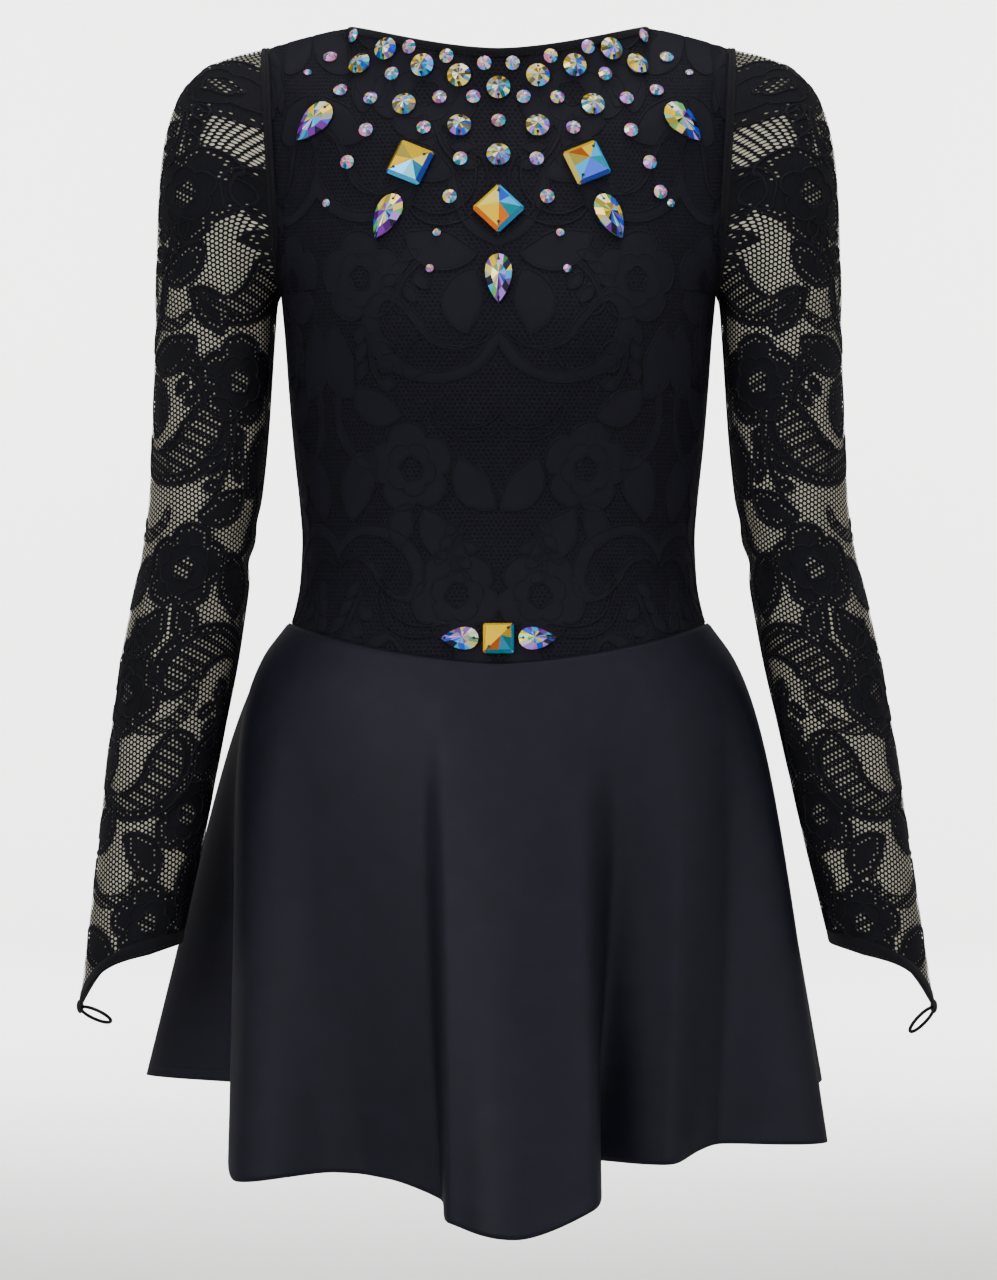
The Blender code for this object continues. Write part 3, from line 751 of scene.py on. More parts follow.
def raised_cords(name, laid, place, inside, flip, material, shift=0.0, lift=CORD_LIFT, mirrored=False):
    """Corded thread along every outline, as low ridges on the cloth."""
    points, uv, faces = [], [], []
    total = 0
    copies = [copy for outline, _ in laid for copy in cloth_copies(resampled(outline, CORD_STEP), shift)]
    for line, shown in copies:
        here = shown & inside(line[:, 0], line[:, 1])
        if not here.any():
            continue
        count = len(line)
        ahead = np.roll(line, -1, axis=0) - np.roll(line, 1, axis=0)
        side = unit(np.stack([-ahead[:, 1], ahead[:, 0]], axis=1))
        normal = outward(place, line[:, 0], line[:, 1]) * flip
        for offset, height in CORD_PROFILE:
            flat = line + side * offset * CORD_HALF
            points.append(place(flat[:, 0], flat[:, 1]) + normal * height * lift)
            uv.append(flat)
        for k in range(len(CORD_PROFILE) - 1):
            low, high = total + k * count, total + (k + 1) * count
            for i in np.flatnonzero(here & np.roll(here, -1)):
                after = (i + 1) % count
                faces.append([low + i, low + after, high + after, high + i])
        total += len(CORD_PROFILE) * count
    points, uv, faces = used_only(np.concatenate(points), np.concatenate(uv), faces)
    return new_mesh(name, points, faces, material, uv=uv, mirrored=mirrored)


def used_only(points, uv, faces):
    """Leaves out the points that no face uses."""
    used = np.unique([v for face in faces for v in face])
    renumber = np.zeros(len(points), int)
    renumber[used] = np.arange(len(used))
    return points[used], uv[used], [[int(renumber[v]) for v in face] for face in faces]


# Bodice

BODICE_COLUMNS = 240
BODICE_UPPER_ROWS = 120
BODICE_LOWER_ROWS = 140
MOTIF_RELIEF = 0.35
BODICE_CORD_LIFT = 0.4
FINE_RELIEF = 0.2
CORD_SEAT = 0.25
LINING_DEPTH = 1.3
LINING_GRID = (60, 26, 30)


def bodice_grid(side, columns, upper, lower):
    share = np.sin(np.linspace(-1, 1, columns + 1) * np.pi / 2)[None, :]
    downs = np.concatenate([np.linspace(0, 1, upper, endpoint=False), np.linspace(1, 2, lower + 1)])
    z = bodice_height(side, share, downs[:, None])
    across = np.broadcast_to(np.linspace(-1, 1, columns + 1) * BODICE_FLAT_HALF, z.shape)
    points = body_point(side, np.broadcast_to(share, z.shape), z)
    return points, np.stack([across, -z], axis=-1)


def grid_outward(points, sign):
    across = np.gradient(points, axis=1)
    down = np.gradient(points, axis=0)
    normal = np.cross(across, down) * sign
    return normal / np.maximum(np.linalg.norm(normal, axis=-1, keepdims=True), 1e-9)


def relief_at(laid, flat):
    solid, fine = lace_fields(flat, laid, LACE_SHIFT)
    motif = np.clip(0.5 - solid / 1.6, 0, 1)
    net = np.clip(0.5 - fine / 1.6, 0, 1)
    return motif, net


def bodice_shell(name, side, laid, lace):
    points, flat = bodice_grid(side, BODICE_COLUMNS, BODICE_UPPER_ROWS, BODICE_LOWER_ROWS)
    rows, columns = points.shape[:2]
    motif, net = relief_at(laid, flat.reshape(-1, 2))
    raised = (MOTIF_RELIEF * motif - FINE_RELIEF * net).reshape(rows, columns, 1)
    edge = np.minimum(np.arange(columns), np.arange(columns)[::-1])[None, :, None]
    points = points + grid_outward(points, side) * raised * np.clip(edge / 3, 0, 1)
    values = {"motif": motif * (1 - net)}
    faces = grid_faces(rows, columns)
    shell = new_mesh("bodice_lace_" + name, points, faces, lace, uv=flat, values=values)
    face_outward(shell)
    return keep(shell, ["bodice_" + name])


def make_bodice_lining(name, side, lining):
    points, flat = bodice_grid(side, *LINING_GRID)
    points = points - grid_outward(points, side) * LINING_DEPTH
    backing = new_mesh("bodice_lining_" + name, points, grid_faces(*points.shape[:2]), lining, uv=flat)
    keep(backing)
    cloth_area(backing)


def bodice_cords(name, side, laid, cord):
    def inside(across, down):
        share = flat_share(across)
        within = (np.abs(across) < BODICE_FLAT_HALF - 2) & (-down < top_edge(side, share)[0] - 3)
        return within & (-down > waist_seam_z(side, share) + 2)

    on_lace = lifted(bodice_map(side), side, CORD_SEAT)
    cords = raised_cords("bodice_cords_" + name, laid, on_lace, inside, side, cord,
                         shift=LACE_SHIFT, lift=BODICE_CORD_LIFT)
    return keep(cords)


def make_bodice(lace, lining, cord):
    laid = laid_outlines()
    pieces = {}
    for name, side in (("front", -1), ("back", 1)):
        shell = bodice_shell(name, side, laid, lace)
        make_bodice_lining(name, side, lining)
        pieces[name] = (shell, bodice_cords(name, side, laid, cord))
    return pieces


def lifted(place, flip, lift):
    def higher(across, down):
        return place(across, down) + outward(place, across, down) * flip * lift
    return higher


def cloth_area(obj):
    """The piece's own area in square metres, measured along its form."""
    areas = np.zeros(len(obj.data.polygons))
    obj.data.polygons.foreach_get("area", areas)
    return round(float(areas.sum()), 4)


# Sleeves

def net_lattice(low, high):
    """A leaning honeycomb of net cells over a flat box.

    It gives the cells' centres, the corners they share, each cell's six corners and each cell's row.
    """
    radius = NET_PITCH / math.sqrt(3)
    sine, cosine = math.sin(NET_TURN), math.cos(NET_TURN)
    wide, tall = high[0] - low[0], high[1] - low[1]
    middle = (np.array(low) + np.array(high)) / 2
    row_reach = int((tall * cosine + wide * sine) / (3 * radius)) + 2
    column_reach = int((wide * cosine + tall * sine) / (2 * NET_PITCH)) + 3
    rows, columns = np.arange(-row_reach, row_reach), np.arange(-column_reach, column_reach)
    row, column = [grid.ravel() for grid in np.meshgrid(rows, columns, indexing="ij")]
    half_steps = 2 * column + row % 2
    centres = np.stack([half_steps * NET_PITCH / 2, row * 1.5 * radius], axis=1)
    around = np.array([(0, -2), (1, -1), (1, 1), (0, 2), (-1, 1), (-1, -1)])
    keys = np.stack([half_steps, 3 * row], axis=1)[:, None] + around[None]
    unique, index = np.unique(keys.reshape(-1, 2), axis=0, return_inverse=True)
    corners = unique * np.array([NET_PITCH / 2, radius / 2])
    lean = np.array([(cosine, sine), (-sine, cosine)])
    return centres @ lean + middle, corners @ lean + middle, index.reshape(-1, 6), row


def hole_sizes(centres, laid, row):
    """Each cell's hole as a share of the cell: open net, fine net, eyelets, or 0 inside a solid motif."""
    solid, fine = lace_fields(centres, laid)
    holes = np.where(solid > MOTIF_EDGE, OPEN_HOLE, 0.0)
    holes = np.where((solid > MOTIF_EDGE) & (solid < RIM_REACH), RIM_HOLE, holes)
    holes = np.where((solid > EYELET_REACH[0]) & (solid < EYELET_REACH[1]), EYELET_HOLE, holes)
    return np.where(fine < FINE_EDGE, np.where(row % 3 == 0, LADDER_HOLE, FINE_HOLE), holes)


SLEEVE_LINING_TURNS = 96
SLEEVE_LINING_ROWS = 110
SLEEVE_LINING_DEPTH = 0.9


def cells_on(cloth, centres):
    """Which cells of the net lie on the sleeve's cloth or across its edge."""
    across, down = centres.T
    width = cloth.round_at(down)
    share = across / width
    rough = 0.35 * NET_PITCH
    within = np.abs(across) < width / 2 + rough
    return within & (down > cloth.top_at(share) - rough) & (down < cloth.bottom_at(share) + rough)


def netted(corners, cells, holes):
    """Flat points and faces of the net: a ring of thread round each hole, and the cells without one."""
    is_open = holes > 0
    outer = cells[is_open]
    middles = corners[outer].mean(axis=1)[:, None]
    inner = middles + (corners[outer] - middles) * holes[is_open][:, None, None]
    ring = len(corners) + np.arange(outer.size).reshape(-1, 6)
    quads = np.stack([outer, np.roll(outer, -1, 1), np.roll(ring, -1, 1), ring], axis=2).reshape(-1, 4)
    return np.concatenate([corners, inner.reshape(-1, 2)]), quads.tolist() + cells[~is_open].tolist()


def make_lace_sleeve(name, mirrored, lace, cord):
    cloth = SleeveCloth(name)
    laid = laid_outlines()
    half = cloth.rounds.max() / 2
    centres, corners, cells, row = net_lattice((-half, SleeveCloth.TOP), (half, SleeveCloth.BOTTOM))
    within = cells_on(cloth, centres)
    centres = centres[within]
    holes = hole_sizes(centres, laid, row[within])
    near_seam = np.abs(centres[:, 0]) > cloth.round_at(centres[:, 1]) / 2 - SEAM_REACH
    holes = np.where(near_seam, np.minimum(holes, SEAM_HOLE), holes)
    used, cells = np.unique(cells[within], return_inverse=True)
    corners = np.stack(cloth.fit(*corners[used].T), axis=1)
    flat, faces = netted(corners, cells.reshape(-1, 6), holes)
    points = cloth.place(flat[:, 0], flat[:, 1])
    sleeve = new_mesh("sleeve_lace_" + name, points, faces, lace, uv=flat, mirrored=mirrored)
    keep(sleeve, ["sleeve_" + name])
    cords = raised_cords("sleeve_cords_" + name, laid, cloth.place, cloth.inside, 1, cord,
                         mirrored=mirrored)
    return cloth, sleeve, keep(cords)


def make_sleeve_lining(name, mirrored, cloth, lining):
    """The pale lining that shows through the net, a tube just inside the lace."""
    share = np.arange(SLEEVE_LINING_TURNS) / SLEEVE_LINING_TURNS - 0.5
    top, bottom = cloth.top_at(share) + 1, cloth.bottom_at(share) - 1
    down = top + np.linspace(0, 1, SLEEVE_LINING_ROWS)[:, None] * (bottom - top)
    across = share * cloth.round_at(down)
    points = cloth.place(across, down) - outward(cloth.place, across, down) * SLEEVE_LINING_DEPTH
    flat = np.stack([across, down], axis=-1)
    faces = grid_faces(SLEEVE_LINING_ROWS, SLEEVE_LINING_TURNS, True)
    tube = new_mesh("sleeve_lining_" + name, points, faces, lining, uv=flat, mirrored=mirrored)
    face_outward(tube)
    keep(tube)
    sleeve_area(cloth)


def sleeve_area(cloth):
    """The area in square metres of one sleeve's cloth, its holes counted in."""
    across, down = np.diff(cloth.points, axis=0)[:, :-1], np.diff(cloth.points, axis=1)[:-1]
    areas = np.linalg.norm(np.cross(across, down), axis=2)
    share = np.linspace(0, 1, cloth.TURNS + 1)[:-1, None]
    level = cloth.downs[None, :-1]
    on = (level > cloth.top_at(share)) & (level < cloth.bottom_at(share))
    return round(float((areas * on).sum()) * 1e-6, 4)


# Strips: seams, bindings and bands that follow a line on the cloth

def strip(name, line, out, side, profile, closed, material, mirrored=False):
    """A narrow strip along a line. The profile gives places beside the line and out from the cloth."""
    rows = [line + side * beside + out * away for beside, away in profile]
    points = np.stack(rows, axis=0)
    count = len(line)
    lengths = np.arange(count) * float(np.linalg.norm(line[1] - line[0]))
    flat = np.stack([np.stack([lengths, np.full(count, p[0])], axis=1) for p in profile])
    faces = grid_faces(len(profile), count, closed)
    piece = new_mesh(name, points, faces, material, uv=flat, mirrored=mirrored)
    face_outward(piece)
    return piece


def unit(vectors):
    return vectors / np.maximum(np.linalg.norm(vectors, axis=-1, keepdims=True), 1e-9)


STITCH_PITCH = 1.6
STITCH_HALF = 0.2
STITCH_LIFT = 0.28


def stitches(name, line, out, thread, closed=False, mirrored=False):
    """A row of short raised stitches along a line on the cloth."""
    sampled = resampled(np.concatenate([line, out], axis=1), STITCH_PITCH, closed)
    line, out = sampled[:, :3], unit(sampled[:, 3:])
    points, faces = [], []
    for i in range(0, len(line) - 1, 2):
        side = unit(np.cross(line[i + 1] - line[i], out[i])) * STITCH_HALF
        low = len(points)
        for end in (i, i + 1):
            points += [line[end] - side, line[end] + out[end] * STITCH_LIFT, line[end] + side]
        faces += [[low, low + 1, low + 4, low + 3], [low + 1, low + 2, low + 5, low + 4]]
        faces += [[low, low + 2, low + 1], [low + 3, low + 4, low + 5]]
    return keep(new_mesh(name, points, faces, thread, smooth=False, mirrored=mirrored))


NECK_PROFILE = ((5.0, 0.9), (3.0, 1.25), (0.6, 1.2), (-0.7, 0.2), (-0.7, -1.0), (0.8, -1.9), (5.0, -2.0))


def make_neck_binding(trim, thread):
    line, out, side = [], [], []
    for panel, direction in ((-1, 1), (1, -1)):
        share = np.linspace(-NECK_HALF, NECK_HALF, 90)[::direction] / SHOULDER_TIP
        top_z = top_edge(panel, share)[0]
        edge = body_point(panel, share, top_z)
        below = body_point(panel, share, top_z - 3)
        down = unit(below - edge)
        along = unit(np.gradient(edge, axis=0)) * direction
        line.append(edge[:-1])
        side.append(down[:-1])
        out.append(unit(np.cross(along, down))[:-1] * panel)
    line, out, side = (np.concatenate(part) for part in (line, out, side))
    for part in (out, side):
        smooth = sum(np.roll(part, k, axis=0) for k in range(-3, 4))
        part[:] = unit(smooth)
    binding = strip("neck_binding", line, out, side, NECK_PROFILE, True, trim)
    sewn = stitches("neck_stitches", line + side * 4.1 + out * 1.02, out, thread, True)
    keep(binding)


SEAM_PROFILE = ((-2.6, 0.1), (-1.3, 0.75), (-0.3, 0.5), (0, 0.15), (0.3, 0.5), (1.3, 0.75), (2.6, 0.1))


def make_armhole_seam(name, mirrored, trim):
    turn = np.linspace(0, 2 * np.pi, 120, endpoint=False)
    line = ring_point("left", 0.0, turn)
    line[:, 0] = body_at(line[:, 2], "half_width") + 0.2
    out = np.stack([np.zeros(len(turn)), -np.sin(turn) * 1.5, np.cos(turn)], axis=1)
    side = np.tile([1.0, 0.0, 0.0], (len(turn), 1))
    seam = strip("armhole_seam_" + name, line, unit(out), side, SEAM_PROFILE, True, trim, mirrored)
    return keep(seam)


UNDERSEAM_PROFILE = ((-2.4, 0.1), (-1.2, 0.7), (1.2, 0.7), (2.4, 0.1))


def make_under_seam(name, mirrored, cloth, trim):
    """The sleeve's seam along the under side of the arm."""
    downs = np.arange(cloth.top_at(0.5) + 1, cloth.bottom_at(0.5), 4.0)
    across = cloth.round_at(downs) / 2
    line = cloth.place(across, downs)
    out = outward(cloth.place, across, downs)
    side = unit(cloth.place(across + 2, downs) - line)
    seam = strip("sleeve_seam_" + name, line, out, side, UNDERSEAM_PROFILE, False, trim, mirrored)
    return keep(seam)


def make_side_seams(trim):
    seams = []
    for name, mirrored in (("left", False), ("right", True)):
        z = np.arange(UNDERARM_Z - 2, SEAM_SIDE_Z, -4.0)
        line = np.stack([body_at(z, "half_width"), np.zeros(len(z)), z], axis=1)
        out = np.tile([1.0, 0.0, 0.0], (len(z), 1))
        side = np.tile([0.0, 1.0, 0.0], (len(z), 1))
        seam = strip("side_seam_" + name, line, out, side, UNDERSEAM_PROFILE, False, trim, mirrored)
        seams.append(keep(seam))
    return seams


CUFF_PROFILE = (
    (0.0, -0.1), (0.4, 0.5), (3.0, 0.65), (7.0, 0.65), (8.5, 0.6),
    (9.2, 0.0), (8.6, -0.8), (5.0, -0.9), (0.3, -0.9),
)


def away_from_arm(turn):
    return np.stack([np.cos(turn), -np.sin(turn), np.zeros(len(turn))], axis=1)


def cuff_point(name, turn, down, proud):
    z = cuff_edge_z(turn) + CUFF_BAND - down
    levels = np.arange(LEVEL_RING, len(SLEEVE))
    ring = np.interp(LEVEL_Z - z, LEVEL_Z - table_column(SLEEVE, "outer_z")[LEVEL_RING:], levels)
    return ring_point(name, ring, turn) + away_from_arm(turn) * proud


def make_cuff(name, mirrored, trim, thread):
    turn = np.linspace(0, 2 * np.pi, 144, endpoint=False)
    points = np.stack([cuff_point(name, turn, down, proud) for down, proud in CUFF_PROFILE])
    flat = np.stack([np.stack([turn * 30, np.full(len(turn), p[0])], axis=1) for p in CUFF_PROFILE])
    faces = grid_faces(len(CUFF_PROFILE), len(turn), True)
    cuff = new_mesh("cuff_" + name, points, faces, trim, uv=flat, mirrored=mirrored)
    face_outward(cuff)
    keep(cuff, ["cuff_band_" + name])
    line = cuff_point(name, turn, 7.0, 0.63)
    sewn = stitches("cuff_stitches_" + name, line, away_from_arm(turn), thread, True, mirrored)
    knot = make_knot(name, mirrored, thread)


KNOT_SIZE = (2.3, 2.0, 4.4)
KNOT_SIDES = 14
KNOT_PLACE = (-0.4, 0, 1.2)


def make_knot(name, mirrored, thread):
    """The thick sewn end at the cuff's point, which holds the finger loop."""
    tip = cuff_point(name, np.zeros(1), CUFF_BAND, 0.0)[0] + np.array(KNOT_PLACE)
    tilt = np.linspace(0.05, math.pi - 0.05, KNOT_SIDES)[:, None]
    turn = np.arange(KNOT_SIDES) * 2 * math.pi / KNOT_SIDES
    ball = [np.sin(tilt) * np.cos(turn), np.sin(tilt) * np.sin(turn), np.cos(tilt) + 0 * turn]
    points = tip + np.stack(ball, axis=-1) * np.array(KNOT_SIZE)
    flat = np.stack([points[..., 0], points[..., 2]], axis=-1)
    faces = grid_faces(KNOT_SIDES, KNOT_SIDES, True)
    knot = new_mesh("cuff_knot_" + name, points, faces, thread, uv=flat, mirrored=mirrored)
    face_outward(knot)
    return keep(knot)


def cord_curve(name, line, width, material):
    """A round cord along a line of points in millimetres."""
    curve = bpy.data.curves.new(name, "CURVE")
    curve.dimensions = "3D"
    curve.bevel_depth = width / 2 * MM
    curve.bevel_resolution = 4
    curve.use_fill_caps = True
    spline = curve.splines.new("POLY")
    spline.points.add(len(line) - 1)
    for point, place in zip(spline.points, line * MM):
        point.co = (*place, 1)
    curve.materials.append(material)
    obj = bpy.data.objects.new(name, curve)
    bpy.context.scene.collection.objects.link(obj)
    return obj


def make_finger_loop(name, mirrored, trim):
    """The elastic finger loop, a cord whose two ends are sewn in at the cuff's point."""
    tip = cuff_point(name, np.zeros(1), CUFF_BAND, 0.0)[0]
    slope = LOOP_SLOPE[name]
    along = np.array([-math.cos(slope), 0, -math.sin(slope)])
    beside = np.array([math.sin(slope), 0, -math.cos(slope)])
    across = np.array([0, 1, 0]) * math.cos(LOOP_TURN) + beside * math.sin(LOOP_TURN)
    centre = tip + np.array(LOOP_ROOT) + along * LOOP_HALF_LENGTH
    turns = np.linspace(LOOP_GAP, 2 * np.pi - LOOP_GAP, LOOP_POINTS)
    ring = centre - np.outer(np.cos(turns), along) * LOOP_HALF_LENGTH
    ring = ring + np.outer(np.sin(turns), across) * LOOP_HALF_WIDTH
    ring[:, 0] *= -1 if mirrored else 1
    loop = cord_curve("finger_loop_cord_" + name, ring, LOOP_CORD, trim)
    keep(loop, ["finger_loop_" + name])


# Skirt

SKIRT_COLUMNS = 190
SKIRT_ROWS = 104
SKIRT_THICK = 1.1
SEAM_ROLL = 1.1
HEM_STITCH = 0.975


def skirt_grid(around):
    """Points and flat places of one part of the skirt, rolled a little over the waist seam at its top."""
    downs = np.concatenate([[0.0, 0.004, 0.01], np.linspace(0.02, 1, SKIRT_ROWS)])
    around, down = np.meshgrid(around, downs)
    out = np.stack([np.sin(around), -np.cos(around), np.zeros(down.shape)], axis=-1)
    roll = SEAM_ROLL * np.exp(-down / 0.03)
    roll[0] = 0.1
    points = skirt_point(around, down) + out * roll[..., None]
    points[..., 2] += 1.5 * np.exp(-down / 0.01)
    return points, np.stack([np.degrees(around) * 2.6, down * 330], axis=-1)


def hem_stitches(name, around, flip, thread):
    line = skirt_point(around, np.full(len(around), HEM_STITCH))
    above = skirt_point(around, np.full(len(around), HEM_STITCH - 0.01))
    out = unit(np.cross(np.gradient(line, axis=0), above - line)) * flip
    return stitches("hem_stitches_" + name, line + out * 0.1, out, thread)


def make_skirt(satin, thread):
    across = np.linspace(-np.pi / 2, np.pi / 2, SKIRT_COLUMNS + 1)
    for name, around, flip in (("front", across, 1), ("back", np.pi - across, -1)):
        points, flat = skirt_grid(around)
        skirt = new_mesh("skirt_satin_" + name, points, grid_faces(*points.shape[:2]), satin, uv=flat)
        face_outward(skirt)
        area = cloth_area(skirt)
        thicken(skirt, SKIRT_THICK)
        keep(skirt, ["skirt_" + name])
        sewn = hem_stitches(name, around, flip, thread)


# Crystals

Kind = namedtuple("Kind", "shape sides width length thick palette")
KINDS = {
    "round": Kind("round", 20, 14.4, 14.4, 4.6, "pale"),
    "square": Kind("square", 8, 22.8, 22.8, 6.0, "strong"),
    "drop": Kind("drop", 20, 17.4, 30.0, 6.0, "mixed"),
    "waist_square": Kind("square", 8, 18.5, 18.5, 5.4, "strong"),
    "waist_drop": Kind("drop", 20, 15.0, 22.6, 5.2, "mixed"),
    "small": Kind("round", 12, 8.8, 8.8, 3.2, "pink"),
    "tiny": Kind("round", 10, 5.0, 5.0, 2.2, "pink"),
}
SQUARE_CORNER = 0.06
DROP_TAPER = 0.8
STONE_GIRDLE = 0.3
STONE_MIDDLE = 0.8
STONE_CLEARANCE = 0.3
STONE_TIPS = {"round": (0.0, 0.0), "square": (0.08, 0.06), "drop": (0.0, 0.08)}

Stone = namedtuple("Stone", "kind across height turn")
STONES = (
    Stone("round", 84.3, -14.3, 0),
    Stone("round", 68.2, -5.7, 0),
    Stone("round", 45.9, -16.8, 0),
    Stone("round", 23.7, -23.6, 0),
    Stone("round", 0.0, -31.3, 0),
    Stone("round", 57.0, -41.3, 0),
    Stone("round", 23.6, -55.2, 0),
    Stone("round", 0.0, -73.5, 0),
    Stone("square", 52.8, -78.4, 23),
    Stone("square", 0.0, -107.0, 45),
    Stone("drop", 112.0, -51.7, 40),
    Stone("drop", 67.0, -111.2, 22),
    Stone("drop", 0.0, -149.2, 0),
    Stone("waist_square", 0.0, -364.0, 0),
    Stone("waist_drop", 23.0, -364.0, 90),
)
SMALL_STONES = (
    Stone("small", 88.3, 5.2, 0),
    Stone("small", 103.2, -8.3, 0),
    Stone("small", 54.0, -5.0, 0),
    Stone("small", 64.6, -21.5, 0),
    Stone("small", 31.3, -11.4, 0),
    Stone("small", 8.5, -16.0, 0),
    Stone("small", 96.2, -31.0, 0),
    Stone("small", 77.6, -36.9, 0),
    Stone("small", 35.5, -37.2, 0),
    Stone("small", 15.2, -37.1, 0),
    Stone("small", 80.0, -57.0, 0),
    Stone("small", 45.0, -56.2, 0),
    Stone("small", 91.2, -76.6, 0),
    Stone("small", 22.9, -75.9, 0),
    Stone("small", 29.1, -99.2, 0),
    Stone("small", 0.0, -52.1, 0),
    Stone("tiny", 116.9, -18.8, 0),
    Stone("tiny", 103.9, -101.1, 0),
    Stone("tiny", 36.8, -121.3, 0),
    Stone("tiny", 40.9, -143.0, 0),
)
EXTRA_STONE = Stone("small", 97.5, -94.6, 0)

# Facet colours: the coating's rainbow tints, which also stand in for the crystals' painted reflections and
# fire
SHADES = {
    "yellow": (0.95, 0.6, 0.0),
    "gold": (0.95, 0.78, 0.13),
    "white": (0.7, 0.74, 0.6),
    "orange": (0.95, 0.2, 0.0),
    "lilac": (0.45, 0.22, 0.85),
    "pink": (0.9, 0.25, 0.5),
    "sky": (0.03, 0.5, 0.95),
    "blue": (0.01, 0.08, 0.75),
    "teal": (0.0, 0.3, 0.36),
    "green": (0.12, 0.5, 0.12),
    "purple": (0.2, 0.02, 0.42),
    "olive": (0.16, 0.13, 0.06),
    "dark": (0.015, 0.015, 0.04),
}
# Painted shade: darker copies of the facet colours, standing in for dark reflections
PAINTED_FACET_SHADE_DEPTHS = (1.0, 1.0, 0.75, 0.4)
PALETTES = {
    "pale": (("gold", "white", "yellow", "olive"), ("sky", "lilac", "blue", "teal", "olive", "gold")),
    "strong": (("yellow", "gold", "orange", "yellow"), ("sky", "blue", "teal", "sky")),
    "mixed": (("gold", "white", "lilac", "green", "yellow"), ("blue", "purple", "lilac", "dark", "sky")),
    "pink": (("pink", "white", "lilac", "gold"), ("pink", "lilac", "teal", "white", "sky")),
}


def stone_outline(shape, sides):
    """The outline of a stone one unit wide and long, its point facing down, once round."""
    if shape == "square":
        near, far = 0.5 - SQUARE_CORNER, 0.5
        corners = []
        for u, v in ((1, 1), (-1, 1), (-1, -1), (1, -1)):
            pair = [(u * far, v * near), (u * near, v * far)]
            corners += pair if u * v > 0 else pair[::-1]
        return corners
    points = []
    for i in range(sides):
        turn = 2 * math.pi * i / sides
        width = 0.5 * math.sin(turn)
        if shape == "drop":
            width *= math.sin(turn / 2) ** DROP_TAPER / 0.86
        points.append((width, -0.5 * math.cos(turn)))
    return points


def outline_of(kind):
    return [(u * kind.width, v * kind.length) for u, v in stone_outline(kind.shape, kind.sides)]


def stone_frame(panel, stone, side):
    """Where a stone lies on the panel: its middle and its sideways, upward and outward directions."""
    start = Vector((side * stone.across, -300, stone.height))

    def on_panel(u, v):
        return panel.ray_cast(start + Vector((u, 0, v)), Vector((0, 1, 0)))[0]

    radius = KINDS[stone.kind].width * 0.4
    sideways = (on_panel(radius, 0) - on_panel(-radius, 0)).normalized()
    upward = (on_panel(0, radius) - on_panel(0, -radius)).normalized()
    away = sideways.cross(upward).normalized()
    upward = away.cross(sideways)
    turn = math.radians(stone.turn) * (side or 1)
    across = sideways * math.cos(turn) + upward * math.sin(turn)
    along = upward * math.cos(turn) - sideways * math.sin(turn)
    middle = on_panel(0, 0)
    lifts = []
    for share in (0.0, 0.5, 1.0):
        for u, v in outline_of(KINDS[stone.kind]):
            point = middle + (across * u + along * v) * share
            hit = panel.ray_cast(point + away * 30, -away)[0]
            lifts.append((hit - point).dot(away) if hit else 0.0)
    return middle + away * (max(lifts) + STONE_CLEARANCE), across, along, away


def crystal_points(kind):
    """A stone's points lying face up: under side, girdle, two inner rings and the tip."""
    outline = outline_of(kind)
    points = [(u * 0.96, v * 0.96, 0) for u, v in outline]
    points += [(u, v, kind.thick * STONE_GIRDLE) for u, v in outline]
    reach = 0.86 if kind.shape == "square" else 0.56
    ring = []
    for near, far in zip(outline[::2], outline[1::2]):
        u, v = [(near[k] + far[k]) / 2 for k in (0, 1)]
        ring.append((u * reach, v * reach, kind.thick * STONE_MIDDLE))
    between = []
    for near, far in zip(ring, ring[1:] + ring[:1]):
        between.append(tuple((near[k] + far[k]) / 2 for k in range(3)))
    tip = STONE_TIPS[kind.shape]
    return points + ring + between + [(tip[0] * kind.width, tip[1] * kind.length, kind.thick)]


def crystal_faces(count):
    """The facets of a stone, from the number of points in its outline."""
    half = count // 2
    middle, between, top = 2 * count, 2 * count + half, 2 * count + 2 * half
    facets = [list(range(count))[::-1]]
    for i in range(count):
        after = (i + 1) % count
        facets.append([i, after, count + after, count + i])
    for j in range(half):
        after = (j + 1) % half
        low, high, beyond = count + 2 * j, count + 2 * j + 1, count + (2 * j + 2) % count
        facets.append([low, high, middle + j])
        facets.append([high, beyond, middle + after, between + j, middle + j])
        facets.append([middle + j, between + j, top])
        facets.append([between + j, middle + after, top])
    return facets


def facet_coating_and_painted_light(kind, corners, chance):
    """One facet's colour: the coating's rainbow tints with painted reflection and shade, warm towards the
    stone's upper left where the key light falls and cool towards its lower right, some facets darkened as
    painted shade.
    """
    u, v = [sum(corner[k] for corner in corners) / len(corners) for k in (0, 1)]
    # Painted light: facets towards the upper left, the key light's side, get the warm colours
    is_warm_lit_side = (v - u) / kind.width + chance.normal(0, 0.25) > 0
    names = PALETTES[kind.palette][0 if is_warm_lit_side else 1]
    # Painted shade: some facets are darkened at random
    depth = PAINTED_FACET_SHADE_DEPTHS[chance.integers(len(PAINTED_FACET_SHADE_DEPTHS))]
    return [level * depth for level in SHADES[names[chance.integers(len(names))]]]


def stone_facets(kind, chance):
    """A stone's points lying face up, its facets and each facet's colour with its painted reflection and
    shade.
    """
    points = crystal_points(kind)
    facets = crystal_faces(len(outline_of(kind)))
    facet_colours_and_painted_light = [facet_coating_and_painted_light(kind, [points[k] for k in facet], chance) for facet in facets]
    return np.array(points), facets, facet_colours_and_painted_light


def placed(frame_of_stone, points):
    middle, across, along, away = [np.array(v) for v in frame_of_stone]
    return middle + points[:, :1] * across + points[:, 1:2] * along + points[:, 2:] * away


def joined(parts):
    """The points and faces of several parts as one list of each."""
    points, faces = [], []
    for part_points, part_faces in parts:
        faces += [[k + len(points) for k in face] for face in part_faces]
        points += list(part_points)
    return points, faces


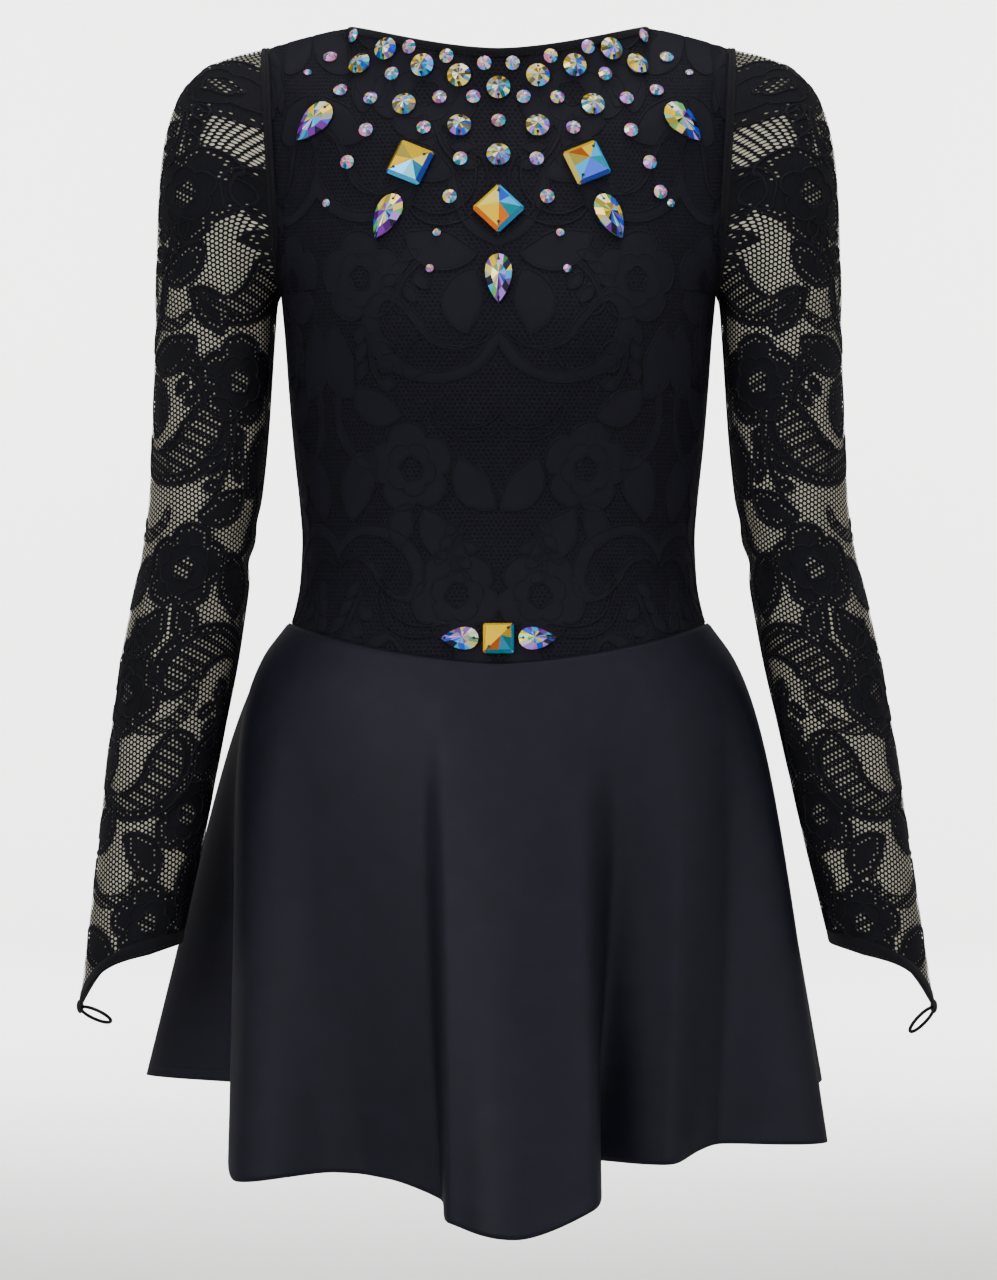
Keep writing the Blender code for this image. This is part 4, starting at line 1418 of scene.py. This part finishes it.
def stone_mesh(name, parts, material):
    """One object from stones that are already placed: points, facets and the facet colours with painted
    reflection and shade of each.
    """
    points, faces = joined([part[:2] for part in parts])
    facet_colours_and_painted_light = [shade for part in parts for shade in part[2]]
    obj = new_mesh(name, points, faces, material, smooth=False)
    face_outward(obj)
    colours = obj.data.attributes.new("facet", "FLOAT_COLOR", "CORNER")
    for polygon in obj.data.polygons:
        for loop in polygon.loop_indices:
            colours.data[loop].color = (*facet_colours_and_painted_light[polygon.index], 1)
    return obj


HOLE_SPOTS = {
    "round": ((0, 0.72), (0, -0.72)),
    "square": ((0.62, 0.62), (-0.62, -0.62)),
    "drop": ((0, 0.76), (0, -0.8)),
}
THREAD_HALF = 0.3
HOLE_RADIUS = 0.95
HOLE_SIDES = 10


def cast_down(face, at):
    """Where a look straight down over a place meets a stone's face, and that facet's outward direction."""
    return face.ray_cast(at + Vector((0, 0, 50)), Vector((0, 0, -1)))[:2]


def thread_strand(face, spot, edge):
    """A thread from a hole over the stone's edge: three points across at each step along it."""
    beside = Vector((-spot.y, spot.x, 0)).normalized() * THREAD_HALF
    points = []
    for share in [1 + (edge - 1) * step / 3 for step in range(4)] + [edge + 0.06]:
        hit = cast_down(face, spot * share)[0]
        at = hit + Vector((0, 0, 0.1)) if hit else spot * share
        points += [at - beside, at + Vector((0, 0, 0.3)), at + beside]
    return points, grid_faces(len(points) // 3, 3)


def hole_ring(face, spot):
    """The dark round spot of a sewing hole, lying on the facet under it."""
    hit, tilt = cast_down(face, spot)
    across = tilt.orthogonal().normalized()
    along = tilt.cross(across)
    points = []
    for i in range(HOLE_SIDES):
        turn = 2 * math.pi * i / HOLE_SIDES
        round_hole = across * math.cos(turn) + along * math.sin(turn)
        points.append(hit + tilt * 0.25 + round_hole * HOLE_RADIUS)
    return points, [list(range(HOLE_SIDES))]


def stone_threads(kind, frame_of_stone, stone_points, facets):
    """The sewing thread from each of a stone's two holes over its edge and down to the cloth."""
    face = BVHTree.FromPolygons([Vector(p) for p in stone_points], facets)
    parts = []
    for spot_u, spot_v in HOLE_SPOTS[kind.shape]:
        spot = Vector((spot_u * kind.width / 2, spot_v * kind.length / 2, 0))
        edge = 0.98 / max(abs(spot_u), abs(spot_v))
        parts += [thread_strand(face, spot, edge), hole_ring(face, spot)]
    points, faces = joined(parts)
    return placed(frame_of_stone, np.array(points)), faces


def stone_spots():
    """Each stone with the side it is sewn to: both sides, or 0 on the centre line."""
    spots = []
    for stone in STONES + SMALL_STONES:
        spots += [(stone, side) for side in ((-1, 1) if stone.across else (0,))]
    return spots + [(EXTRA_STONE, 1)]


def make_stones(front, crystal, thread):
    corners = [vertex.co / MM for vertex in front.data.vertices]
    panel = BVHTree.FromPolygons(corners, [p.vertices[:] for p in front.data.polygons])
    chance = np.random.default_rng(7)
    counts, threads, small = {}, [], []
    for stone, side in stone_spots():
        kind = KINDS[stone.kind]
        place = stone_frame(panel, stone, side)
        points, facets, facet_colours_and_painted_light = stone_facets(kind, chance)
        part = (placed(place, points), facets, facet_colours_and_painted_light)
        if stone.kind in ("small", "tiny"):
            small.append(part)
            continue
        counts[stone.kind] = counts.get(stone.kind, 0) + 1
        label = "%s_%d" % (stone.kind, counts[stone.kind])
        keep(stone_mesh("stone_" + label, [part], crystal), ["crystal_" + label])
        threads.append(stone_threads(kind, place, points, facets))
    keep(stone_mesh("small_stones", small, crystal))
    keep(new_mesh("stone_threads", *joined(threads), thread))


# Materials

def group(name, inputs, outputs):
    """An empty node group with its sockets: each is a name, a socket kind and a starting value."""
    tree = bpy.data.node_groups.new(name, "ShaderNodeTree")
    for label, kind, value in inputs:
        socket = tree.interface.new_socket(label, in_out="INPUT", socket_type="NodeSocket" + kind)
        if value is not None:
            socket.default_value = value
    for label, kind in outputs:
        tree.interface.new_socket(label, in_out="OUTPUT", socket_type="NodeSocket" + kind)
    return tree, tree.nodes.new("NodeGroupInput"), tree.nodes.new("NodeGroupOutput")


def node(tree, kind, **settings):
    made = tree.nodes.new("ShaderNode" + kind)
    for key, value in settings.items():
        setattr(made, key, value)
    return made


def maths(tree, operation, first, second=None):
    made = node(tree, "Math", operation=operation)
    for socket, value in zip(made.inputs, (first, second)):
        if isinstance(value, (int, float)):
            socket.default_value = value
        elif value is not None:
            tree.links.new(value, socket)
    return made.outputs[0]


def net_group():
    """Height of a honeycomb net of threads: 1 on a thread and 0 in a hole."""
    tree, given, result = group(
        "Net threads",
        (("Cloth", "Vector", None), ("Pitch", "Float", 0.003)),
        (("Thread", "Float"),),
    )
    split = node(tree, "SeparateXYZ")
    tree.links.new(given.outputs["Cloth"], split.inputs[0])
    turn = maths(tree, "DIVIDE", 4 * math.pi / math.sqrt(3), given.outputs["Pitch"])
    waves = []
    for angle in (0, 60, 120):
        along = maths(tree, "MULTIPLY", split.outputs[0], math.sin(math.radians(angle)))
        down = maths(tree, "MULTIPLY", split.outputs[1], math.cos(math.radians(angle)))
        waves.append(maths(tree, "COSINE", maths(tree, "MULTIPLY", maths(tree, "ADD", along, down), turn)))
    total = maths(tree, "ADD", maths(tree, "ADD", waves[0], waves[1]), waves[2])
    ramp = node(tree, "MapRange", interpolation_type="SMOOTHSTEP")
    ramp.inputs["From Min"].default_value = 0.6
    ramp.inputs["From Max"].default_value = -0.6
    tree.links.new(total, ramp.inputs["Value"])
    tree.links.new(ramp.outputs["Result"], result.inputs["Thread"])
    return tree


def weave_group():
    """Height of a fine woven or knitted cloth, with slight unevenness."""
    tree, given, result = group(
        "Fine weave",
        (("Cloth", "Vector", None), ("Pitch", "Float", 0.0005), ("Slant", "Float", 0.5)),
        (("Height", "Float"), ("Unevenness", "Float")),
    )
    split = node(tree, "SeparateXYZ")
    tree.links.new(given.outputs["Cloth"], split.inputs[0])
    turn = maths(tree, "DIVIDE", 2 * math.pi, given.outputs["Pitch"])
    leaning = maths(tree, "MULTIPLY", split.outputs[1], given.outputs["Slant"])
    one = maths(tree, "SINE", maths(tree, "MULTIPLY", maths(tree, "ADD", split.outputs[0], leaning), turn))
    two = maths(tree, "SINE", maths(tree, "MULTIPLY", split.outputs[1], turn))
    noise = node(tree, "TexNoise")
    noise.inputs["Scale"].default_value = 60
    noise.inputs["Detail"].default_value = 3
    tree.links.new(given.outputs["Cloth"], noise.inputs["Vector"])
    tree.links.new(maths(tree, "MULTIPLY", one, two), result.inputs["Height"])
    tree.links.new(noise.outputs["Fac"], result.inputs["Unevenness"])
    return tree


SPECULAR_TINT = (0.88, 0.88, 1, 1)


def cloth_material(name, colour, roughness, sheen, specular):
    material = bpy.data.materials.new(name)
    material.use_nodes = True
    tree = material.node_tree
    surface = tree.nodes["Principled BSDF"]
    surface.inputs["Base Color"].default_value = (*colour, 1)
    surface.inputs["Roughness"].default_value = roughness
    surface.inputs["Sheen Weight"].default_value = sheen
    surface.inputs["Sheen Roughness"].default_value = 0.4
    surface.inputs["Specular IOR Level"].default_value = specular
    surface.inputs["Specular Tint"].default_value = SPECULAR_TINT
    material.diffuse_color = (*colour, 1)
    return material, tree, surface


def use_group(tree, shared, pitch):
    cloth = node(tree, "UVMap", uv_map="cloth")
    used = node(tree, "Group", node_tree=shared)
    tree.links.new(cloth.outputs["UV"], used.inputs["Cloth"])
    used.inputs["Pitch"].default_value = pitch
    return used


def bump_from(tree, surface, height, distance):
    bump = node(tree, "Bump")
    bump.inputs["Distance"].default_value = distance
    bump.inputs["Strength"].default_value = 1.0
    tree.links.new(height, bump.inputs["Height"])
    tree.links.new(bump.outputs["Normal"], surface.inputs["Normal"])


def mixed_colour(tree, share, first, second):
    mix = node(tree, "Mix", data_type="RGBA")
    mix.inputs[6].default_value = (*first, 1)
    mix.inputs[7].default_value = (*second, 1)
    tree.links.new(share, mix.inputs[0])
    return mix.outputs[2]


def bodice_lace_material(net, weave):
    material, tree, surface = cloth_material("bodice lace", (0.005, 0.005, 0.008), 0.6, 0.0, 0.13)
    threads = use_group(tree, net, NET_PITCH * MM)
    fine = use_group(tree, weave, 0.0009)
    motif = node(tree, "Attribute", attribute_name="motif")
    over = maths(tree, "MAXIMUM", threads.outputs["Thread"], motif.outputs["Fac"])
    height = maths(tree, "ADD", over, maths(tree, "MULTIPLY", fine.outputs["Height"], 0.2))
    bump_from(tree, surface, height, 0.0004)
    colour = mixed_colour(tree, over, (0.0028, 0.0027, 0.0048), (0.0075, 0.0072, 0.012))
    tree.links.new(colour, surface.inputs["Base Color"])
    return material


Cloth = namedtuple("Cloth", "name colour roughness sheen specular pitch depth")
CLOTHS = (
    Cloth("black lining", (0.004, 0.004, 0.005), 0.7, 0.0, 0.15, 0.0006, 0.0001),
    Cloth("pale lining", (0.74, 0.7, 0.55), 0.8, 0.0, 0.2, 0.0007, 0.00005),
    Cloth("lace cord", (0.005, 0.005, 0.0075), 0.6, 0.0, 0.2, 0.0007, 0.0001),
    Cloth("lace thread", (0.005, 0.005, 0.007), 0.65, 0.0, 0.15, 0.0007, 0.0001),
    Cloth("black satin", (0.0074, 0.0071, 0.013), 0.5, 0.0, 0.2, 0.0005, 0.00002),
    Cloth("black trim", (0.005, 0.005, 0.0065), 0.65, 0.05, 0.15, 0.0008, 0.0001),
    Cloth("sewing thread", (0.009, 0.009, 0.012), 0.45, 0.0, 0.4, 0.0007, 0.0001),
)


def plain_cloth_material(weave, cloth):
    material, tree, surface = cloth_material(*cloth[:5])
    fine = use_group(tree, weave, cloth.pitch)
    bump_from(tree, surface, fine.outputs["Height"], cloth.depth)
    darker, lighter = [tuple(c * share for c in cloth.colour) for share in (0.7, 1.35)]
    shade = mixed_colour(tree, fine.outputs["Unevenness"], darker, lighter)
    tree.links.new(shade, surface.inputs["Base Color"])
    return material


def crystal_material():
    material, tree, surface = cloth_material("rainbow crystal", (0.8, 0.8, 0.7), 0.12, 0.0, 0.5)
    # The facet colours are the coating's tints with painted reflection and shade
    facet = node(tree, "Attribute", attribute_name="facet")
    tree.links.new(facet.outputs["Color"], surface.inputs["Base Color"])
    surface.inputs["Metallic"].default_value = 0.2
    surface.inputs["Coat Weight"].default_value = 0.3
    surface.inputs["Coat Roughness"].default_value = 0.04
    surface.inputs["Coat IOR"].default_value = 1.55
    return material


# Surroundings

FLOOR_Z = -0.86
STAGE_RADIUS = 4.2
STAGE_CURVE = 0.9
STAGE_HEIGHT = 2.1
STAGE_SIDES = 48
PAPER = (0.86, 0.86, 0.85, 1)
WORLD_STRENGTH = 0.35
CAMERA_PLACE = (0, -2.45, -0.3168)
CAMERA_TILT = 1.16
CAMERA_LENS = 111.1


def make_stage():
    """A round pale floor whose edge curves up into a wall, far enough out for a view from any side."""
    curve = np.linspace(0, np.pi / 2, 14)
    radius = np.concatenate([[0.001], STAGE_RADIUS + STAGE_CURVE * (np.sin(curve) - 1), [STAGE_RADIUS]])
    height = np.concatenate([[0], STAGE_CURVE * (1 - np.cos(curve)), [STAGE_HEIGHT]]) + FLOOR_Z
    turn = np.linspace(0, 2 * np.pi, STAGE_SIDES, endpoint=False)
    level = np.repeat(height[:, None], STAGE_SIDES, 1)
    rings = [np.outer(radius, np.cos(turn)), np.outer(radius, np.sin(turn)), level]
    points = np.stack(rings, axis=-1) / MM
    material = bpy.data.materials.new("pale paper")
    material.use_nodes = True
    surface = material.node_tree.nodes["Principled BSDF"]
    surface.inputs["Base Color"].default_value = PAPER
    surface.inputs["Roughness"].default_value = 0.9
    floor = new_mesh("floor", points, grid_faces(len(radius), STAGE_SIDES, True), material)
    floor.visible_glossy = False


Light = namedtuple("Light", "name place aim size power")
LIGHTS = (
    Light("key", (-1.5, -2.2, 0.9), (0, 0, -0.3), 1.4, 44),
    Light("fill", (1.9, -1.8, 0.2), (0, 0, -0.4), 1.8, 20),
    Light("top", (0.2, -0.2, 1.9), (0, 0, -0.2), 1.4, 26),
    Light("backdrop left", (-1.6, 1.7, 0.9), (-0.3, 4.2, -0.3), 1.4, 190),
    Light("backdrop right", (1.6, 1.7, 0.9), (0.3, 4.2, -0.3), 1.4, 190),
)


def make_lights():
    for light in LIGHTS:
        lamp = bpy.data.lights.new(light.name, "AREA")
        lamp.size = light.size
        lamp.energy = light.power
        obj = bpy.data.objects.new(light.name, lamp)
        obj.location = light.place
        obj.rotation_euler = (Vector(light.aim) - Vector(light.place)).to_track_quat("-Z", "Y").to_euler()
        obj.visible_camera = False
        bpy.context.scene.collection.objects.link(obj)
    world = bpy.context.scene.world or bpy.data.worlds.new("studio")
    bpy.context.scene.world = world
    world.use_nodes = True
    world.node_tree.nodes["Background"].inputs["Color"].default_value = (1, 1, 1, 1)
    world.node_tree.nodes["Background"].inputs["Strength"].default_value = WORLD_STRENGTH


def make_camera():
    camera = bpy.data.cameras.new("camera")
    camera.lens = CAMERA_LENS
    camera.sensor_width = 36
    camera.clip_end = 20
    obj = bpy.data.objects.new("camera", camera)
    obj.location = CAMERA_PLACE
    obj.rotation_euler = (math.radians(90 - CAMERA_TILT), 0, 0)
    bpy.context.scene.collection.objects.link(obj)
    bpy.context.scene.camera = obj


def make_sleeves(cloths):
    trim, thread = cloths["black trim"], cloths["sewing thread"]
    for name, mirrored in (("left", False), ("right", True)):
        lace, cord = cloths["lace thread"], cloths["lace cord"]
        cloth, sleeve, cords = make_lace_sleeve(name, mirrored, lace, cord)
        under_seam = make_under_seam(name, mirrored, cloth, trim)
        added = [cords, under_seam, make_armhole_seam(name, mirrored, trim)]
        sleeve_area(cloth)
        make_sleeve_lining(name, mirrored, cloth, cloths["pale lining"])
        make_cuff(name, mirrored, trim, thread)
        make_finger_loop(name, mirrored, trim)


def main():
    net, weave = net_group(), weave_group()
    lace = bodice_lace_material(net, weave)
    cloths = {cloth.name: plain_cloth_material(weave, cloth) for cloth in CLOTHS}
    trim, thread = cloths["black trim"], cloths["sewing thread"]
    crystal = crystal_material()
    bodice = make_bodice(lace, cloths["black lining"], cloths["lace cord"])
    make_sleeves(cloths)
    side_seams = make_side_seams(trim)
    for name, (shell, cords) in bodice.items():
        cloth_area(shell)
    make_neck_binding(trim, thread)
    make_skirt(cloths["black satin"], thread)
    make_stones(bodice["front"][0], crystal, thread)
    make_stage()
    make_lights()
    make_camera()


def plain(bounds):
    return [[float(v) for v in corner] for corner in bounds]


main()
